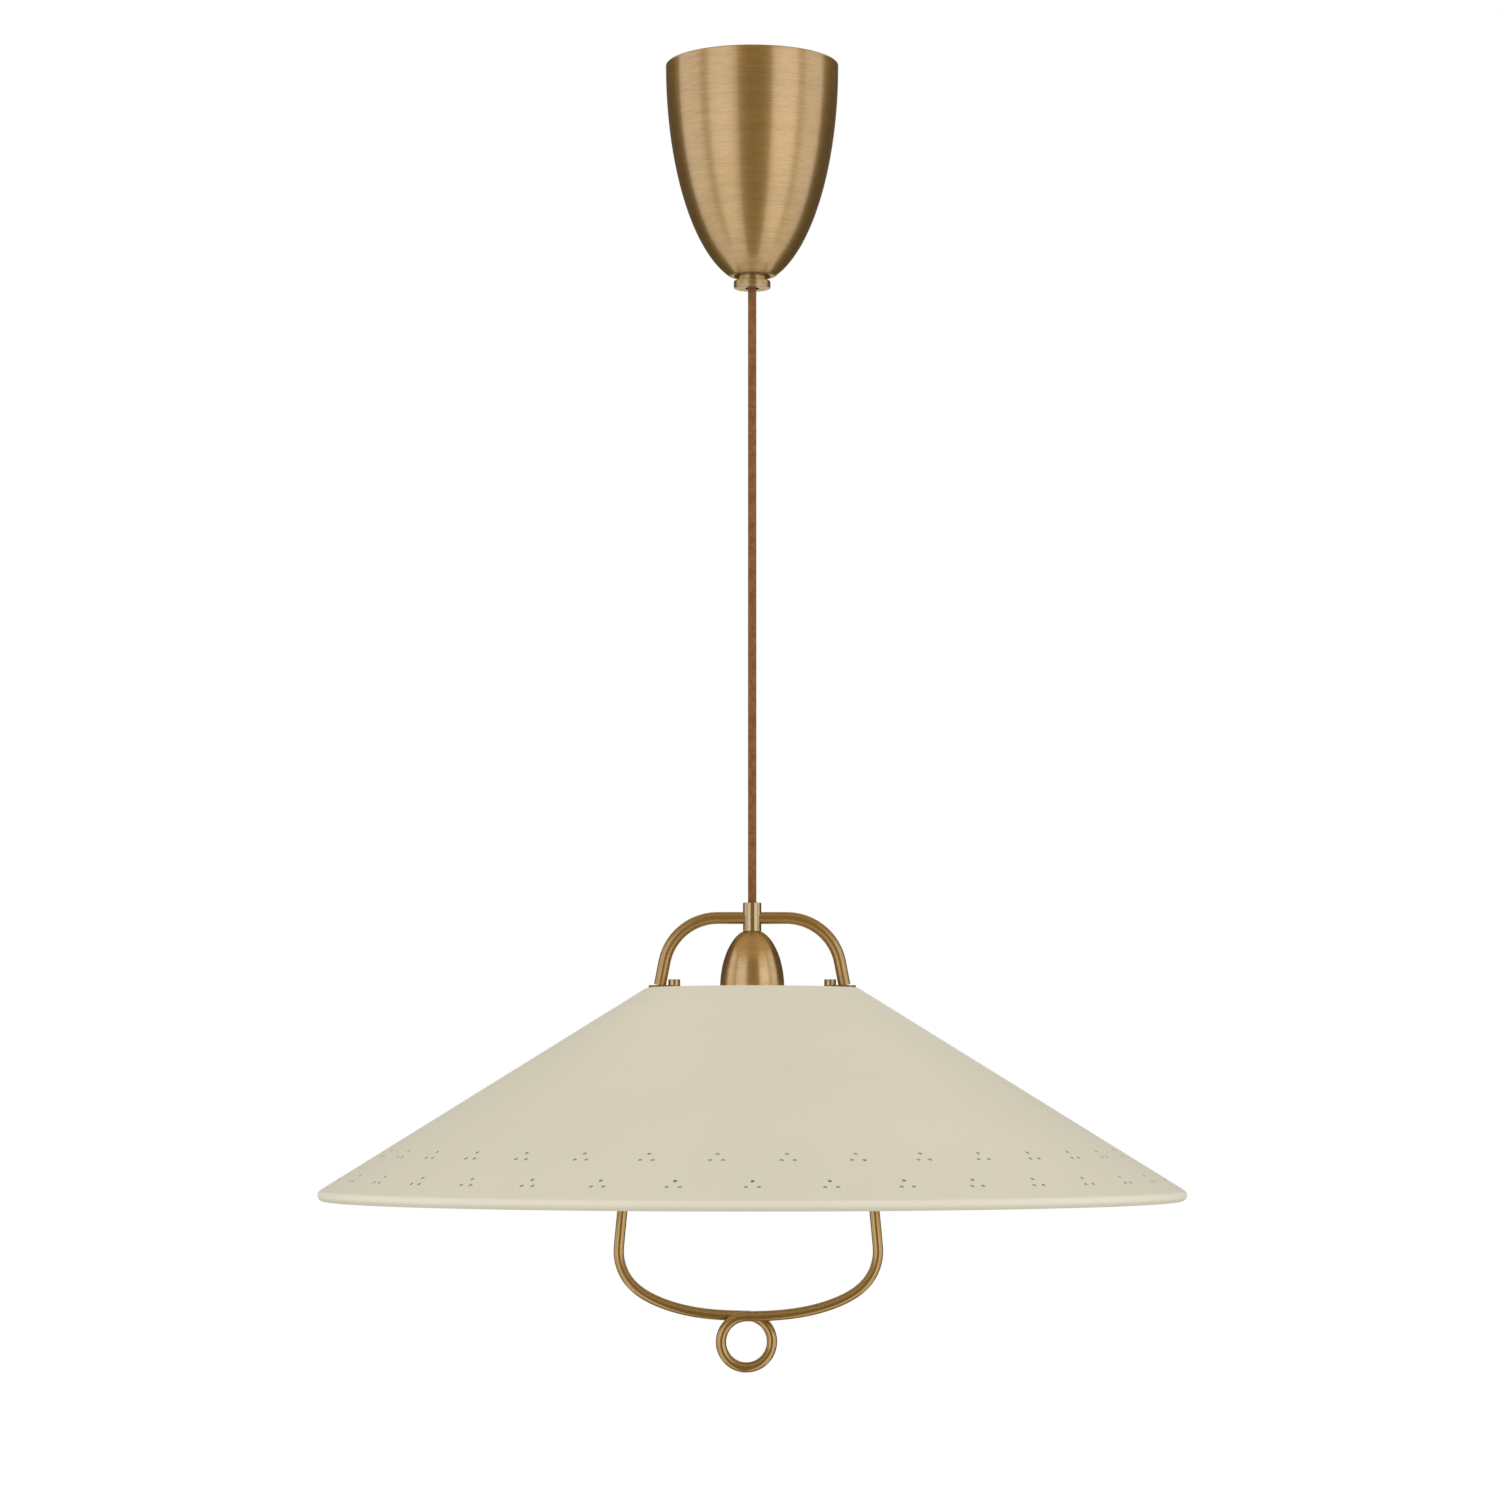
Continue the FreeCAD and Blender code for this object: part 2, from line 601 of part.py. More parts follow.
def outlet_collar():
    """Turned disc with a neck; it screws on the tube from below and holds the cup up."""
    thread = TUBE_R + THREAD_FIT
    disc_top = COLLAR_BOTTOM_Z + COLLAR_THICK
    edge = 0.6
    return turned_outline([(thread, COLLAR_TOP_Z), (COLLAR_NECK_R, COLLAR_TOP_Z), (COLLAR_NECK_R, disc_top),
                           (COLLAR_R - edge, disc_top), (COLLAR_R, disc_top - edge),
                           (COLLAR_R, COLLAR_BOTTOM_Z + edge), (COLLAR_R - edge, COLLAR_BOTTOM_Z),
                           (COLLAR_MOUTH_R, COLLAR_BOTTOM_Z), (COLLAR_MOUTH_R, COLLAR_BOTTOM_Z + COLLAR_LIP),
                           (thread, COLLAR_BOTTOM_Z + COLLAR_LIP)])


# ---- cord ----

def cord_lead():
    """The cord inside the cup: off the drum's left side, over the pulley and down to the mouth."""
    dx, dz = PULLEY_X, PULLEY_Z - AXLE_Z
    reach = math.hypot(dx, dz)
    lean = math.atan2(-dz, -dx) - math.acos((DRUM_LAYER_2 + PULLEY_CORD_R) / reach)
    leave = at(-DRUM_LAYER_2 * math.cos(lean), AXLE_Z - DRUM_LAYER_2 * math.sin(lean))
    meet = at(PULLEY_X + PULLEY_CORD_R * math.cos(lean), PULLEY_Z + PULLEY_CORD_R * math.sin(lean))
    half = at(PULLEY_X + PULLEY_CORD_R * math.cos(lean / 2), PULLEY_Z + PULLEY_CORD_R * math.sin(lean / 2))
    down = at(0, PULLEY_Z)
    print("inner cord: bend radius %.1f, lean %.1f degrees" % (PULLEY_CORD_R, math.degrees(lean)))
    return swept_rod([line(leave, meet), arc(meet, half, down), line(down, at(0, CORD_TOP_Z))], CORD_R)


def pendant_cord():
    """The taut cord from the mouth of the cup into the sleeve."""
    tube = rod_z(CORD_R, CORD_END_Z, CORD_TOP_Z)
    section = math.pi * CORD_R ** 2
    print("pendant cord: straight, %.1f long, volume over section times length %.4f"
          % (CORD_TOP_Z - CORD_END_Z, tube.Volume / (section * (CORD_TOP_Z - CORD_END_Z))))
    return tube


# ---- sleeve, arch and dome ----

def cord_sleeve():
    bore = CORD_R + TOUCH
    thread = NIPPLE_R + THREAD_FIT
    shoulder = SLEEVE_BOTTOM_Z + SLEEVE_NIPPLE_DEPTH
    edge = 0.5
    return turned_outline([(bore, SLEEVE_TOP_Z), (SLEEVE_R - edge, SLEEVE_TOP_Z),
                           (SLEEVE_R, SLEEVE_TOP_Z - edge), (SLEEVE_R, SLEEVE_BOTTOM_Z),
                           (thread, SLEEVE_BOTTOM_Z), (thread, shoulder), (bore, shoulder)])


def cord_grip():
    """Split nylon cone that grips the cord's end inside the sleeve."""
    top = CORD_END_Z
    bottom = SLEEVE_BOTTOM_Z + SLEEVE_NIPPLE_DEPTH
    return rod_z(CORD_R + TOUCH - THREAD_FIT, bottom, top).cut(rod_z(CORD_R / 2, bottom, top))


def arch_rod():
    """Right half of the arch: out of the sleeve, round the shoulder and down to its foot."""
    lean = math.radians(ARCH_LEAN_DEG)
    bend_low_z = ARCH_Z - ARCH_BEND_R * (1 - math.sin(lean))
    foot_x = FOOT_OUTER_X - ARCH_FOOT_INSET
    straight = foot_x - (bend_low_z - FOOT_TOP_Z) * math.tan(lean) - ARCH_BEND_R * math.cos(lean)
    centre = at(straight, ARCH_Z - ARCH_BEND_R)

    def on_bend(angle):
        return centre + at(ARCH_BEND_R * math.cos(angle), ARCH_BEND_R * math.sin(angle))

    shoulder = at(straight, ARCH_Z)
    bend_end = on_bend(lean)
    fall = bend_end.z - FOOT_TOP_Z + ARCH_ROD_R
    foot = bend_end + at(fall * math.tan(lean), -fall)
    rod = swept_rod([line(at(0, ARCH_Z), shoulder),
                     arc(shoulder, on_bend((math.pi / 2 + lean) / 2), bend_end),
                     line(bend_end, foot)], ARCH_ROD_R)
    below = block(0, FOOT_OUTER_X * 2, -FOOT_WIDTH, FOOT_WIDTH, FOOT_TOP_Z - 4 * ARCH_ROD_R, FOOT_TOP_Z)
    return rod.cut(rod_z(SLEEVE_R, SLEEVE_BOTTOM_Z - SLEEVE_R, SLEEVE_TOP_Z + SLEEVE_R)).cut(below)


def foot_plate(z_low):
    plate = oval_plate(FOOT_LENGTH, FOOT_WIDTH, FOOT_THICK, FOOT_OUTER_X, z_low)
    return plate.cut(rod_z(SCREW_R + HOLE_FIT, z_low, z_low + FOOT_THICK, FOOT_SCREW_X))


def arch_feet():
    return both_sides(foot_plate(SHADE_TOP_Z))


def foot_screws():
    """Slotted cheese-head screws through the foot, the shade and the handle's plate."""
    z_end = HANDLE_TOP_Z - NUT_THICK - SCREW_TIP
    head = rod_z(SCREW_HEAD_R, FOOT_TOP_Z, FOOT_TOP_Z + SCREW_HEAD_HEIGHT, FOOT_SCREW_X)
    slot = block(FOOT_SCREW_X - SCREW_SLOT_WIDTH / 2, FOOT_SCREW_X + SCREW_SLOT_WIDTH / 2,
                 -SCREW_HEAD_R, SCREW_HEAD_R, FOOT_TOP_Z + SCREW_HEAD_HEIGHT - SCREW_SLOT_DEPTH,
                 FOOT_TOP_Z + SCREW_HEAD_HEIGHT)
    return both_sides(head.cut(slot).fuse(rod_z(SCREW_R, z_end, FOOT_TOP_Z, FOOT_SCREW_X)))


def foot_nuts():
    low = HANDLE_TOP_Z - NUT_THICK
    nut = hexagon(NUT_ACROSS_FLATS, NUT_THICK, FOOT_SCREW_X, 0, low)
    return both_sides(nut.cut(rod_z(SCREW_R + THREAD_FIT, low, low + NUT_THICK, FOOT_SCREW_X)))


def dome():
    """Spun brass dome that stands on the shade's top and hides the lampholder's cap."""
    top = SLEEVE_BOTTOM_Z
    outer, top_outer, base_outer = ellipse_side(DOME_R, DOME_HEIGHT, SHADE_TOP_Z, top, SHADE_TOP_Z)
    hole = NIPPLE_R + HOLE_FIT
    inner, top_inner, base_inner = ellipse_side(DOME_R - DOME_WALL, DOME_HEIGHT - DOME_WALL, SHADE_TOP_Z,
                                                top - 2 * DOME_WALL, SHADE_TOP_Z)
    crown = at(hole, top)
    under = at(hole, top_inner.z)
    edges = outer + inner + [line(base_outer, base_inner), line(crown, top_outer)]
    if top_inner.x > hole:
        edges.extend([line(top_inner, under), line(under, crown)])
    return turned(Part.__sortEdges__(edges))


# ---- lampholder ----

def nipple():
    """Threaded tube that joins the sleeve to the lampholder's cap."""
    top = SLEEVE_BOTTOM_Z + SLEEVE_NIPPLE_DEPTH
    bottom = HOLDER_TOP_Z - SLEEVE_NIPPLE_DEPTH
    return rod_z(NIPPLE_R, bottom, top).cut(rod_z(NIPPLE_BORE_R, bottom, top))


def lampholder_cap():
    """Turned brass cap with a shoulder, screwed on the nipple."""
    z = HOLDER_TOP_Z
    low = z - HOLDER_CAP_LENGTH
    thread = NIPPLE_R + THREAD_FIT
    neck = NIPPLE_R * 1.8
    inside = z - HOLDER_CAP_LENGTH / 2
    inner = HOLDER_R - 2 * HOLDER_WALL
    return turned_outline([(thread, z), (neck, z), (HOLDER_R - HOLDER_WALL, z - HOLDER_WALL * 3),
                           (HOLDER_R - HOLDER_WALL, low), (inner, low), (inner, inside), (thread, inside)])


def holder_levels():
    """Heights of the lampholder's body, its insert and its screw shell."""
    top = HOLDER_TOP_Z - HOLDER_CAP_LENGTH
    bottom = top - HOLDER_BODY_LENGTH
    shell_top = bottom + SOCKET_LENGTH + HOLDER_WALL
    return top, bottom, shell_top


def lampholder_body():
    """Outer shell of the lampholder, with a ledge at its mouth that keeps the screw shell in."""
    top, bottom, _ = holder_levels()
    inner = HOLDER_R - HOLDER_WALL
    mouth = SOCKET_R + SOCKET_WALL / 2
    return turned_outline([(inner, top), (HOLDER_R, top), (HOLDER_R, bottom), (mouth, bottom),
                           (mouth, bottom + HOLDER_WALL), (inner, bottom + HOLDER_WALL)])


def lampholder_insert():
    """Ceramic disc across the body, with a recess that holds the centre contact."""
    _, _, shell_top = holder_levels()
    outer = HOLDER_R - HOLDER_WALL - HOLE_FIT / 2
    recess = CONTACT_R + HOLE_FIT
    seat = shell_top + CONTACT_RECESS + CONTACT_THICK
    top = shell_top + INSERT_THICK
    return turned_outline([(recess, shell_top), (outer, shell_top), (outer, top), (CONTACT_R / 2, top),
                           (CONTACT_R / 2, seat), (recess, seat)])


def screw_shell():
    """Brass shell that takes the bulb's thread."""
    _, bottom, shell_top = holder_levels()
    low = bottom + HOLDER_WALL
    flange = HOLDER_R - HOLDER_WALL - HOLE_FIT / 2
    foot = low + SOCKET_WALL
    return turned_outline([(SOCKET_R, low), (flange, low), (flange, foot), (SOCKET_R + SOCKET_WALL, foot),
                           (SOCKET_R + SOCKET_WALL, shell_top), (SOCKET_R, shell_top)])


def centre_contact():
    """Copper disc on a stem, set back in the insert."""
    _, _, shell_top = holder_levels()
    stem = CONTACT_R / 2 - HOLE_FIT / 2
    low = shell_top + CONTACT_RECESS
    seat = low + CONTACT_THICK
    top = shell_top + INSERT_THICK
    return turned_outline([(0, low), (CONTACT_R, low), (CONTACT_R, seat), (stem, seat), (stem, top),
                           (0, top)])


# ---- shade ----

def cone_lean():
    """The cone's angle from level, and where its outside would meet the flat top."""
    bead_x = SHADE_R - RIM_BEAD_R
    bead_z = SHADE_TOP_Z - SHADE_HEIGHT + RIM_BEAD_R
    dx, dz = bead_x - SHADE_TOP_R, SHADE_TOP_Z - bead_z
    return math.atan2(dz, dx) - math.asin(RIM_BEAD_R / math.hypot(dx, dz)), bead_x, bead_z


def shade():
    """Spun cone with a flat top and a rolled rim."""
    lean, bead_x, bead_z = cone_lean()
    along = at(math.cos(lean), -math.sin(lean))
    out = at(math.sin(lean), math.cos(lean))
    corner = at(SHADE_TOP_R, SHADE_TOP_Z)
    set_back = SHADE_CORNER_R * math.tan(lean / 2)
    turn_centre = corner - at(set_back, SHADE_CORNER_R)
    middle = at(math.sin(lean / 2), math.cos(lean / 2))
    inner_r = SHADE_CORNER_R - SHADE_WALL
    flat_end = corner - at(set_back, 0)
    bend_end = turn_centre + out * SHADE_CORNER_R
    bead = at(bead_x, bead_z)
    bead_start = bead + out * RIM_BEAD_R
    inner_bend = turn_centre + out * inner_r
    wall_line = bead + out * (RIM_BEAD_R - SHADE_WALL)
    back = math.sqrt(RIM_BEAD_R ** 2 - (RIM_BEAD_R - SHADE_WALL) ** 2)
    bead_end = wall_line - along * back
    hole, under = SHADE_HOLE_R, SHADE_TOP_Z - SHADE_WALL
    edges = [line(at(hole, SHADE_TOP_Z), flat_end),
             arc(flat_end, turn_centre + middle * SHADE_CORNER_R, bend_end),
             line(bend_end, bead_start),
             arc(bead_start, bead + at(0, -RIM_BEAD_R), bead_end),
             line(bead_end, inner_bend),
             arc(inner_bend, turn_centre + middle * inner_r, turn_centre + at(0, inner_r)),
             line(turn_centre + at(0, inner_r), at(hole, under)),
             line(at(hole, under), at(hole, SHADE_TOP_Z))]
    body = turned(edges)
    holes = [rod_z(SCREW_R + HOLE_FIT, under, SHADE_TOP_Z, side * FOOT_SCREW_X) for side in (-1, 1)]
    return body.cut(Part.makeCompound(holes))


# ---- pull handle ----

def handle_side(side):
    """Stations of one leg, from its foot to the bow: points with the direction towards the loop."""
    centre = at(HANDLE_SHIFT + side * HANDLE_CORNER_X, SHADE_TOP_Z - HANDLE_CORNER_DROP)
    foot = at(side * HANDLE_FOOT_X, HANDLE_TOP_Z + HANDLE_ROD_R)
    lean = math.radians(HANDLE_LEG_END_DEG)
    out = at(side * math.cos(lean), math.sin(lean))
    leg_end = centre + out * HANDLE_CORNER_R
    leg_dir = at(side * math.sin(lean), -math.cos(lean))
    slope = math.radians(HANDLE_SHOULDER_DEG)
    shoulder_z = SHADE_TOP_Z - HANDLE_BOW_DROP + HANDLE_SHOULDER_RISE
    shoulder = at(centre.x + side * HANDLE_SHOULDER_STEP, shoulder_z)
    shoulder_dir = at(-side * math.cos(slope), -math.sin(slope))
    chord = foot - leg_end
    leg_r = -chord.dot(chord) / (2 * chord.dot(out))
    leg_centre = leg_end - out * leg_r
    foot_out = foot - leg_centre
    foot_out.normalize()
    foot_dir = at(side * foot_out.z, -side * foot_out.x)
    low = centre + at(side * math.sin(math.pi / 4), -math.sin(math.pi / 4)) * HANDLE_CORNER_R
    low_dir = at(-side * math.sin(math.pi / 4), -math.sin(math.pi / 4))
    return [(foot, foot_dir), (leg_end, leg_dir), (low, low_dir), (shoulder, shoulder_dir)]


def loop_stations():
    """Quarter turns of the pigtail: in at the front, down the left, up the right and out at the back."""
    centre_z = SHADE_TOP_Z - HANDLE_BOW_DROP - LOOP_R
    centre_x = HANDLE_SHIFT + LOOP_SHIFT
    offset = HANDLE_ROD_R + LOOP_GAP / 2
    stations = []
    for quarter in range(5):
        turn = quarter * math.pi / 2
        y = -offset * math.cos(turn / 2)
        slope = offset * math.sin(turn / 2) / 2
        place = Vector(centre_x - LOOP_R * math.sin(turn), y, centre_z + LOOP_R * math.cos(turn))
        heading = Vector(-LOOP_R * math.cos(turn), slope, -LOOP_R * math.sin(turn))
        heading.normalize()
        stations.append((place, heading))
    return stations


def pull_handle():
    """One rod: up a leg, round the corner, along the bow, once round the pigtail loop and back up."""
    left = [(place, direction * -1) for place, direction in reversed(handle_side(-1))]
    stations = handle_side(1) + loop_stations() + left
    edges = through(stations)
    rod = swept_rod(edges, HANDLE_ROD_R)
    length = sum(edge.Length for edge in edges)
    points = []
    for edge in edges:
        points.extend(edge.discretize(Distance=1.0))
    apart = int(math.pi * LOOP_R)
    gap = min((a - b).Length for i, a in enumerate(points) for b in points[i + apart:]) - 2 * HANDLE_ROD_R
    print("pull handle: rod %.1f long, least gap to itself %.2f" % (length, gap))
    above = block(-SHADE_R, SHADE_R, -FOOT_WIDTH, FOOT_WIDTH, HANDLE_TOP_Z, HANDLE_TOP_Z + 4 * HANDLE_ROD_R)
    return rod.cut(above)


def handle_plates():
    return both_sides(foot_plate(HANDLE_TOP_Z))


def main():
    right_rod = arch_rod()
    pieces = {
        "canopy": canopy(), "ceiling_strap": ceiling_strap(), "frame_screws": frame_screws(),
        "earth_screw": earth_screw(), "reel_frame": reel_frame(), "reel_axle": reel_axle(),
        "axle_clips": axle_clips(), "cord_drum": cord_drum(), "drum_cover": drum_cover(),
        "power_spring": power_spring(), "wound_cord": wound_cord(), "slip_disc": slip_disc(),
        "slip_rings": slip_rings(), "brush_block": brush_block(), "brushes": brushes(),
        "terminal_block": terminal_block(), "guide_pulley": guide_pulley(), "pulley_pin": pulley_pin(),
        "pulley_spacers": pulley_spacers(), "outlet_tube": outlet_tube(), "outlet_nut": outlet_nut(),
        "outlet_bush": outlet_bush(), "outlet_collar": outlet_collar(), "cord_lead": cord_lead(),
        "pendant_cord": pendant_cord(), "cord_sleeve": cord_sleeve(), "cord_grip": cord_grip(),
        "arch_rod_right": right_rod, "arch_rod_left": mirrored(right_rod), "arch_feet": arch_feet(),
        "foot_screws": foot_screws(), "foot_nuts": foot_nuts(), "dome": dome(), "nipple": nipple(),
        "lampholder_cap": lampholder_cap(), "lampholder_body": lampholder_body(),
        "lampholder_insert": lampholder_insert(), "screw_shell": screw_shell(),
        "centre_contact": centre_contact(), "shade": shade(), "pull_handle": pull_handle(),
        "handle_plates": handle_plates(),
    }
    for name, shape in pieces.items():
        write(name, shape)


main()
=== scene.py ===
"""The looks of the rise and fall pendant: a spun brass ceiling cup, a braided cord, a brass arch and dome,
a pierced cream cone with a rolled rim, and a bent brass pull handle with a pigtail loop.

Metres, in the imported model's frame: the origin is the centre of the ceiling plane, +Z is up, +X is right.
"""
import json
from math import asin, atan2, copysign, cos, degrees, hypot, pi, radians, sin, sqrt, tan

import bmesh
import bpy
from bmesh.types import BMEdge, BMVert
from mathutils import Matrix, Vector
from mathutils.geometry import interpolate_bezier


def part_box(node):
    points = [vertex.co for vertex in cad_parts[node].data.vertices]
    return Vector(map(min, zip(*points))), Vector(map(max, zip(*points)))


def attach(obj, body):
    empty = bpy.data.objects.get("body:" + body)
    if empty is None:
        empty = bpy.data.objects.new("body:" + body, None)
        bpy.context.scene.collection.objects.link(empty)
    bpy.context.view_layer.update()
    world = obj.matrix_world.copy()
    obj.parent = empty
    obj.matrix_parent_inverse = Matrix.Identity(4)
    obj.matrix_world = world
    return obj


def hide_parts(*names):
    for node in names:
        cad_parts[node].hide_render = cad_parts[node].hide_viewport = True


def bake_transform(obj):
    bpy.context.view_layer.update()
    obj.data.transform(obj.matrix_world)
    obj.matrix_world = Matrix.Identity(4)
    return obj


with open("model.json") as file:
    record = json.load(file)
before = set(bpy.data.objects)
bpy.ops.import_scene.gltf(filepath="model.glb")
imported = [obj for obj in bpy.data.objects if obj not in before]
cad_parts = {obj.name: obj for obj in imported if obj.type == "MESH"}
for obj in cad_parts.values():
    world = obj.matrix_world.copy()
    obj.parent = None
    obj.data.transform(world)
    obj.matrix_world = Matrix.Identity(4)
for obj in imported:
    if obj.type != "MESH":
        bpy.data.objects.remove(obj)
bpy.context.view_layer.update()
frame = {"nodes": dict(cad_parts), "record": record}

# -------- camera
# A long lens a little below the shade, looking slightly up. The values come from a pinhole camera fitted
# to the shade's rim, the rows of holes and the cup.
EYE_DISTANCE = 2.977
EYE_LEVEL = -0.7409
PITCH_UP = radians(4.723)
FOCAL_PIXELS = 4200.0
FRAME_PIXELS = 1500.0
AXIS_PIXELS_RIGHT = 2.2

lens = bpy.data.cameras.new("photo_camera")
lens.sensor_width = 36.0
lens.lens = lens.sensor_width * FOCAL_PIXELS / FRAME_PIXELS
lens.clip_start, lens.clip_end = 0.05, 60.0
camera = bpy.data.objects.new("photo_camera", lens)
camera.location = (-AXIS_PIXELS_RIGHT / FOCAL_PIXELS * EYE_DISTANCE, -EYE_DISTANCE, EYE_LEVEL)
camera.rotation_euler = (pi / 2 + PITCH_UP, 0.0, 0.0)
bpy.context.scene.collection.objects.link(camera)
bpy.context.scene.camera = camera

# -------- pendant cord
# Twin-core flex in a brown cotton braid, 6 mm across. It hangs taut between the collar under the cup and
# the brass sleeve, and pays out or winds in as the lamp moves.
CORD_R = 0.003
CORD_SIDES, CORD_FINENESS = 32, 64
BRAID_CARRIERS = 10
BRAID_PITCH = 0.0105
# How far from its end the cord is darkened, as painted shade where it goes into the sleeve, and the fade.
SLEEVE_SHADE_LENGTH, SLEEVE_SHADE_FADE = 0.0093, 0.0013
# Braid colours. The groove colour is painted shade between the strands, the edge colour is painted shade at
# grazing angles, the pale fibre colour is partly a painted highlight on the fuzz, and the darkest colour is
# painted shade where the cord goes into the sleeve.
UNDER_STRAND, OVER_STRAND = (0.235, 0.090, 0.024, 1), (0.315, 0.130, 0.038, 1)
DARK_STRAND, PALE_FIBRE_GLINT = (0.125, 0.052, 0.017, 1), (0.420, 0.205, 0.080, 1)
GROOVE_SHADE, SHADED_EDGE = (0.075, 0.032, 0.011, 1), (0.050, 0.020, 0.007, 1)
SLEEVE_SHADE, NAP = (0.030, 0.016, 0.008, 1), (0.75, 0.55, 0.38, 1)
FUZZ_FINENESS, WEAR_FINENESS = 2600.0, 260.0


def new_material(name):
    """A material with its node tree and its Principled shader."""
    material = bpy.data.materials.new(name)
    material.use_nodes = True
    tree = material.node_tree
    return material, tree, tree.nodes["Principled BSDF"]


def fill_inputs(tree, node, pairs):
    """Sets or links a node's inputs, given as (socket, value or output) pairs."""
    for socket, value in pairs:
        if isinstance(value, bpy.types.NodeSocket):
            tree.links.new(value, node.inputs[socket])
        else:
            node.inputs[socket].default_value = value


def add_node(tree, kind, inputs=(), **settings):
    """A shader node with its settings and its inputs."""
    made = tree.nodes.new("ShaderNode" + kind)
    for name, value in settings.items():
        setattr(made, name, value)
    fill_inputs(tree, made, inputs)
    return made


def calc(tree, operation, *values):
    """One Math node, and its result."""
    return add_node(tree, "Math", list(enumerate(values)), operation=operation).outputs[0]


def spread(tree, value, low, high, to_low, to_high):
    """A value moved from one range to another, and kept inside it."""
    pairs = [("Value", value), ("From Min", low), ("From Max", high), ("To Min", to_low), ("To Max", to_high)]
    return add_node(tree, "MapRange", pairs).outputs["Result"]


def blend_colours(tree, share, first, second):
    """Two colours mixed by a share from 0 to 1."""
    pairs = [(0, share), (6, first), (7, second)]
    return add_node(tree, "Mix", pairs, data_type="RGBA").outputs[2]


def noise(tree, vector, scale, detail=3.0, roughness=0.5):
    """Plain noise, from 0 to 1 about 0.5."""
    pairs = [("Vector", vector), ("Scale", scale), ("Detail", detail), ("Roughness", roughness)]
    return add_node(tree, "TexNoise", pairs).outputs[0]


def set_normal(tree, shader, height, strength, distance):
    """A Bump node from a height to the shader's normal."""
    pairs = [("Height", height), ("Strength", strength), ("Distance", distance)]
    fill_inputs(tree, shader, [("Normal", add_node(tree, "Bump", pairs).outputs["Normal"])])


def attribute(tree, name):
    """A vector that the mesh stores at each of its vertices."""
    return add_node(tree, "Attribute", attribute_name=name).outputs["Vector"]


def add_object(name, bm, material):
    """A bmesh as a new object with one material."""
    mesh = bpy.data.meshes.new(name)
    bm.to_mesh(mesh)
    bm.free()
    mesh.materials.append(material)
    made = bpy.data.objects.new(name, mesh)
    bpy.context.scene.collection.objects.link(made)
    return made


def finish_mesh(name, bm, material, replaced, body=None, sharp=35.0):
    """Turns a bmesh into a piece: smooth with sharp creases, in place of a node, riding on its body."""
    made = add_object(name, bm, material)
    made.data.shade_smooth()
    made.data.set_sharp_from_angle(angle=radians(sharp))
    if body:
        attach(made, body)
    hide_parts(replaced)
    return made


def braid_material(name, shaded_from):
    """Brown cotton braid: two families of helical strands that pass over and under each other, with worn
    and dark places, pale fibres that are partly a painted highlight, painted shade in the grooves and at
    grazing edges, and painted shade from a given run along the cord, where it goes into the sleeve."""
    material, tree, shader = new_material(name)
    place = attribute(tree, "rod_place")
    axes = add_node(tree, "SeparateXYZ", [(0, place)]).outputs
    turn = calc(tree, "MULTIPLY", calc(tree, "ARCTAN2", axes[1], axes[0]), BRAID_CARRIERS / (2 * pi))
    rise = calc(tree, "MULTIPLY", axes[2], BRAID_CARRIERS / BRAID_PITCH)
    families = [calc(tree, "MULTIPLY", calc(tree, "PINGPONG", calc(tree, way, turn, rise), 0.5), 2.0)
                for way in ("ADD", "SUBTRACT")]
    height = calc(tree, "MAXIMUM", *families)
    fuzz = noise(tree, place, FUZZ_FINENESS, 4.0, 0.65)
    drift = noise(tree, place, WEAR_FINENESS)
    edge = add_node(tree, "LayerWeight").outputs["Facing"]
    colour = blend_colours(tree, calc(tree, "GREATER_THAN", *families), UNDER_STRAND, OVER_STRAND)
    # Random darker places, then painted shade in the grooves, a painted highlight on pale fibres, painted
    # shade at grazing edges and painted shade where the cord goes into the sleeve.
    for value, low, high, to_low, to_high, laid in (
            (drift, 0.40, 0.62, 0.0, 0.65, DARK_STRAND), (height, 0.35, 0.75, 0.55, 0.0, GROOVE_SHADE),
            (fuzz, 0.45, 0.75, 0.0, 0.5, PALE_FIBRE_GLINT), (edge, 0.45, 0.95, 0.0, 0.75, SHADED_EDGE),
            (axes[2], shaded_from, shaded_from + SLEEVE_SHADE_FADE, 0.0, 0.8, SLEEVE_SHADE)):
        colour = blend_colours(tree, spread(tree, value, low, high, to_low, to_high), colour, laid)
    fill_inputs(tree, shader, [("Base Color", colour), ("Roughness", 0.88), ("Specular IOR Level", 0.2),
                               ("Sheen Weight", 0.08), ("Sheen Roughness", 0.5), ("Sheen Tint", NAP)])
    set_normal(tree, shader, calc(tree, "ADD", height, calc(tree, "MULTIPLY", fuzz, 0.6)), 0.55, 0.0003)
    return material


def read_route(name, points, fineness):
    """Places read along the NURBS spline whose control points are the cord's route."""
    curve = bpy.data.curves.new(name, "CURVE")
    curve.dimensions = "3D"
    curve.resolution_u = fineness
    spline = curve.splines.new("NURBS")
    spline.points.add(len(points) - 1)
    for knot, point in zip(spline.points, points):
        knot.co = (*point, 1.0)
    spline.order_u = 3
    spline.use_endpoint_u = True
    holder = bpy.data.objects.new(name, curve)
    mesh = bpy.data.meshes.new_from_object(holder)
    line = [vert.co.copy() for vert in mesh.vertices]
    bpy.data.meshes.remove(mesh)
    bpy.data.objects.remove(holder)
    bpy.data.curves.remove(curve)
    return line


def only(geom, kind):
    """The parts of one kind among what a bmesh operator made."""
    return [part for part in geom if isinstance(part, kind)]


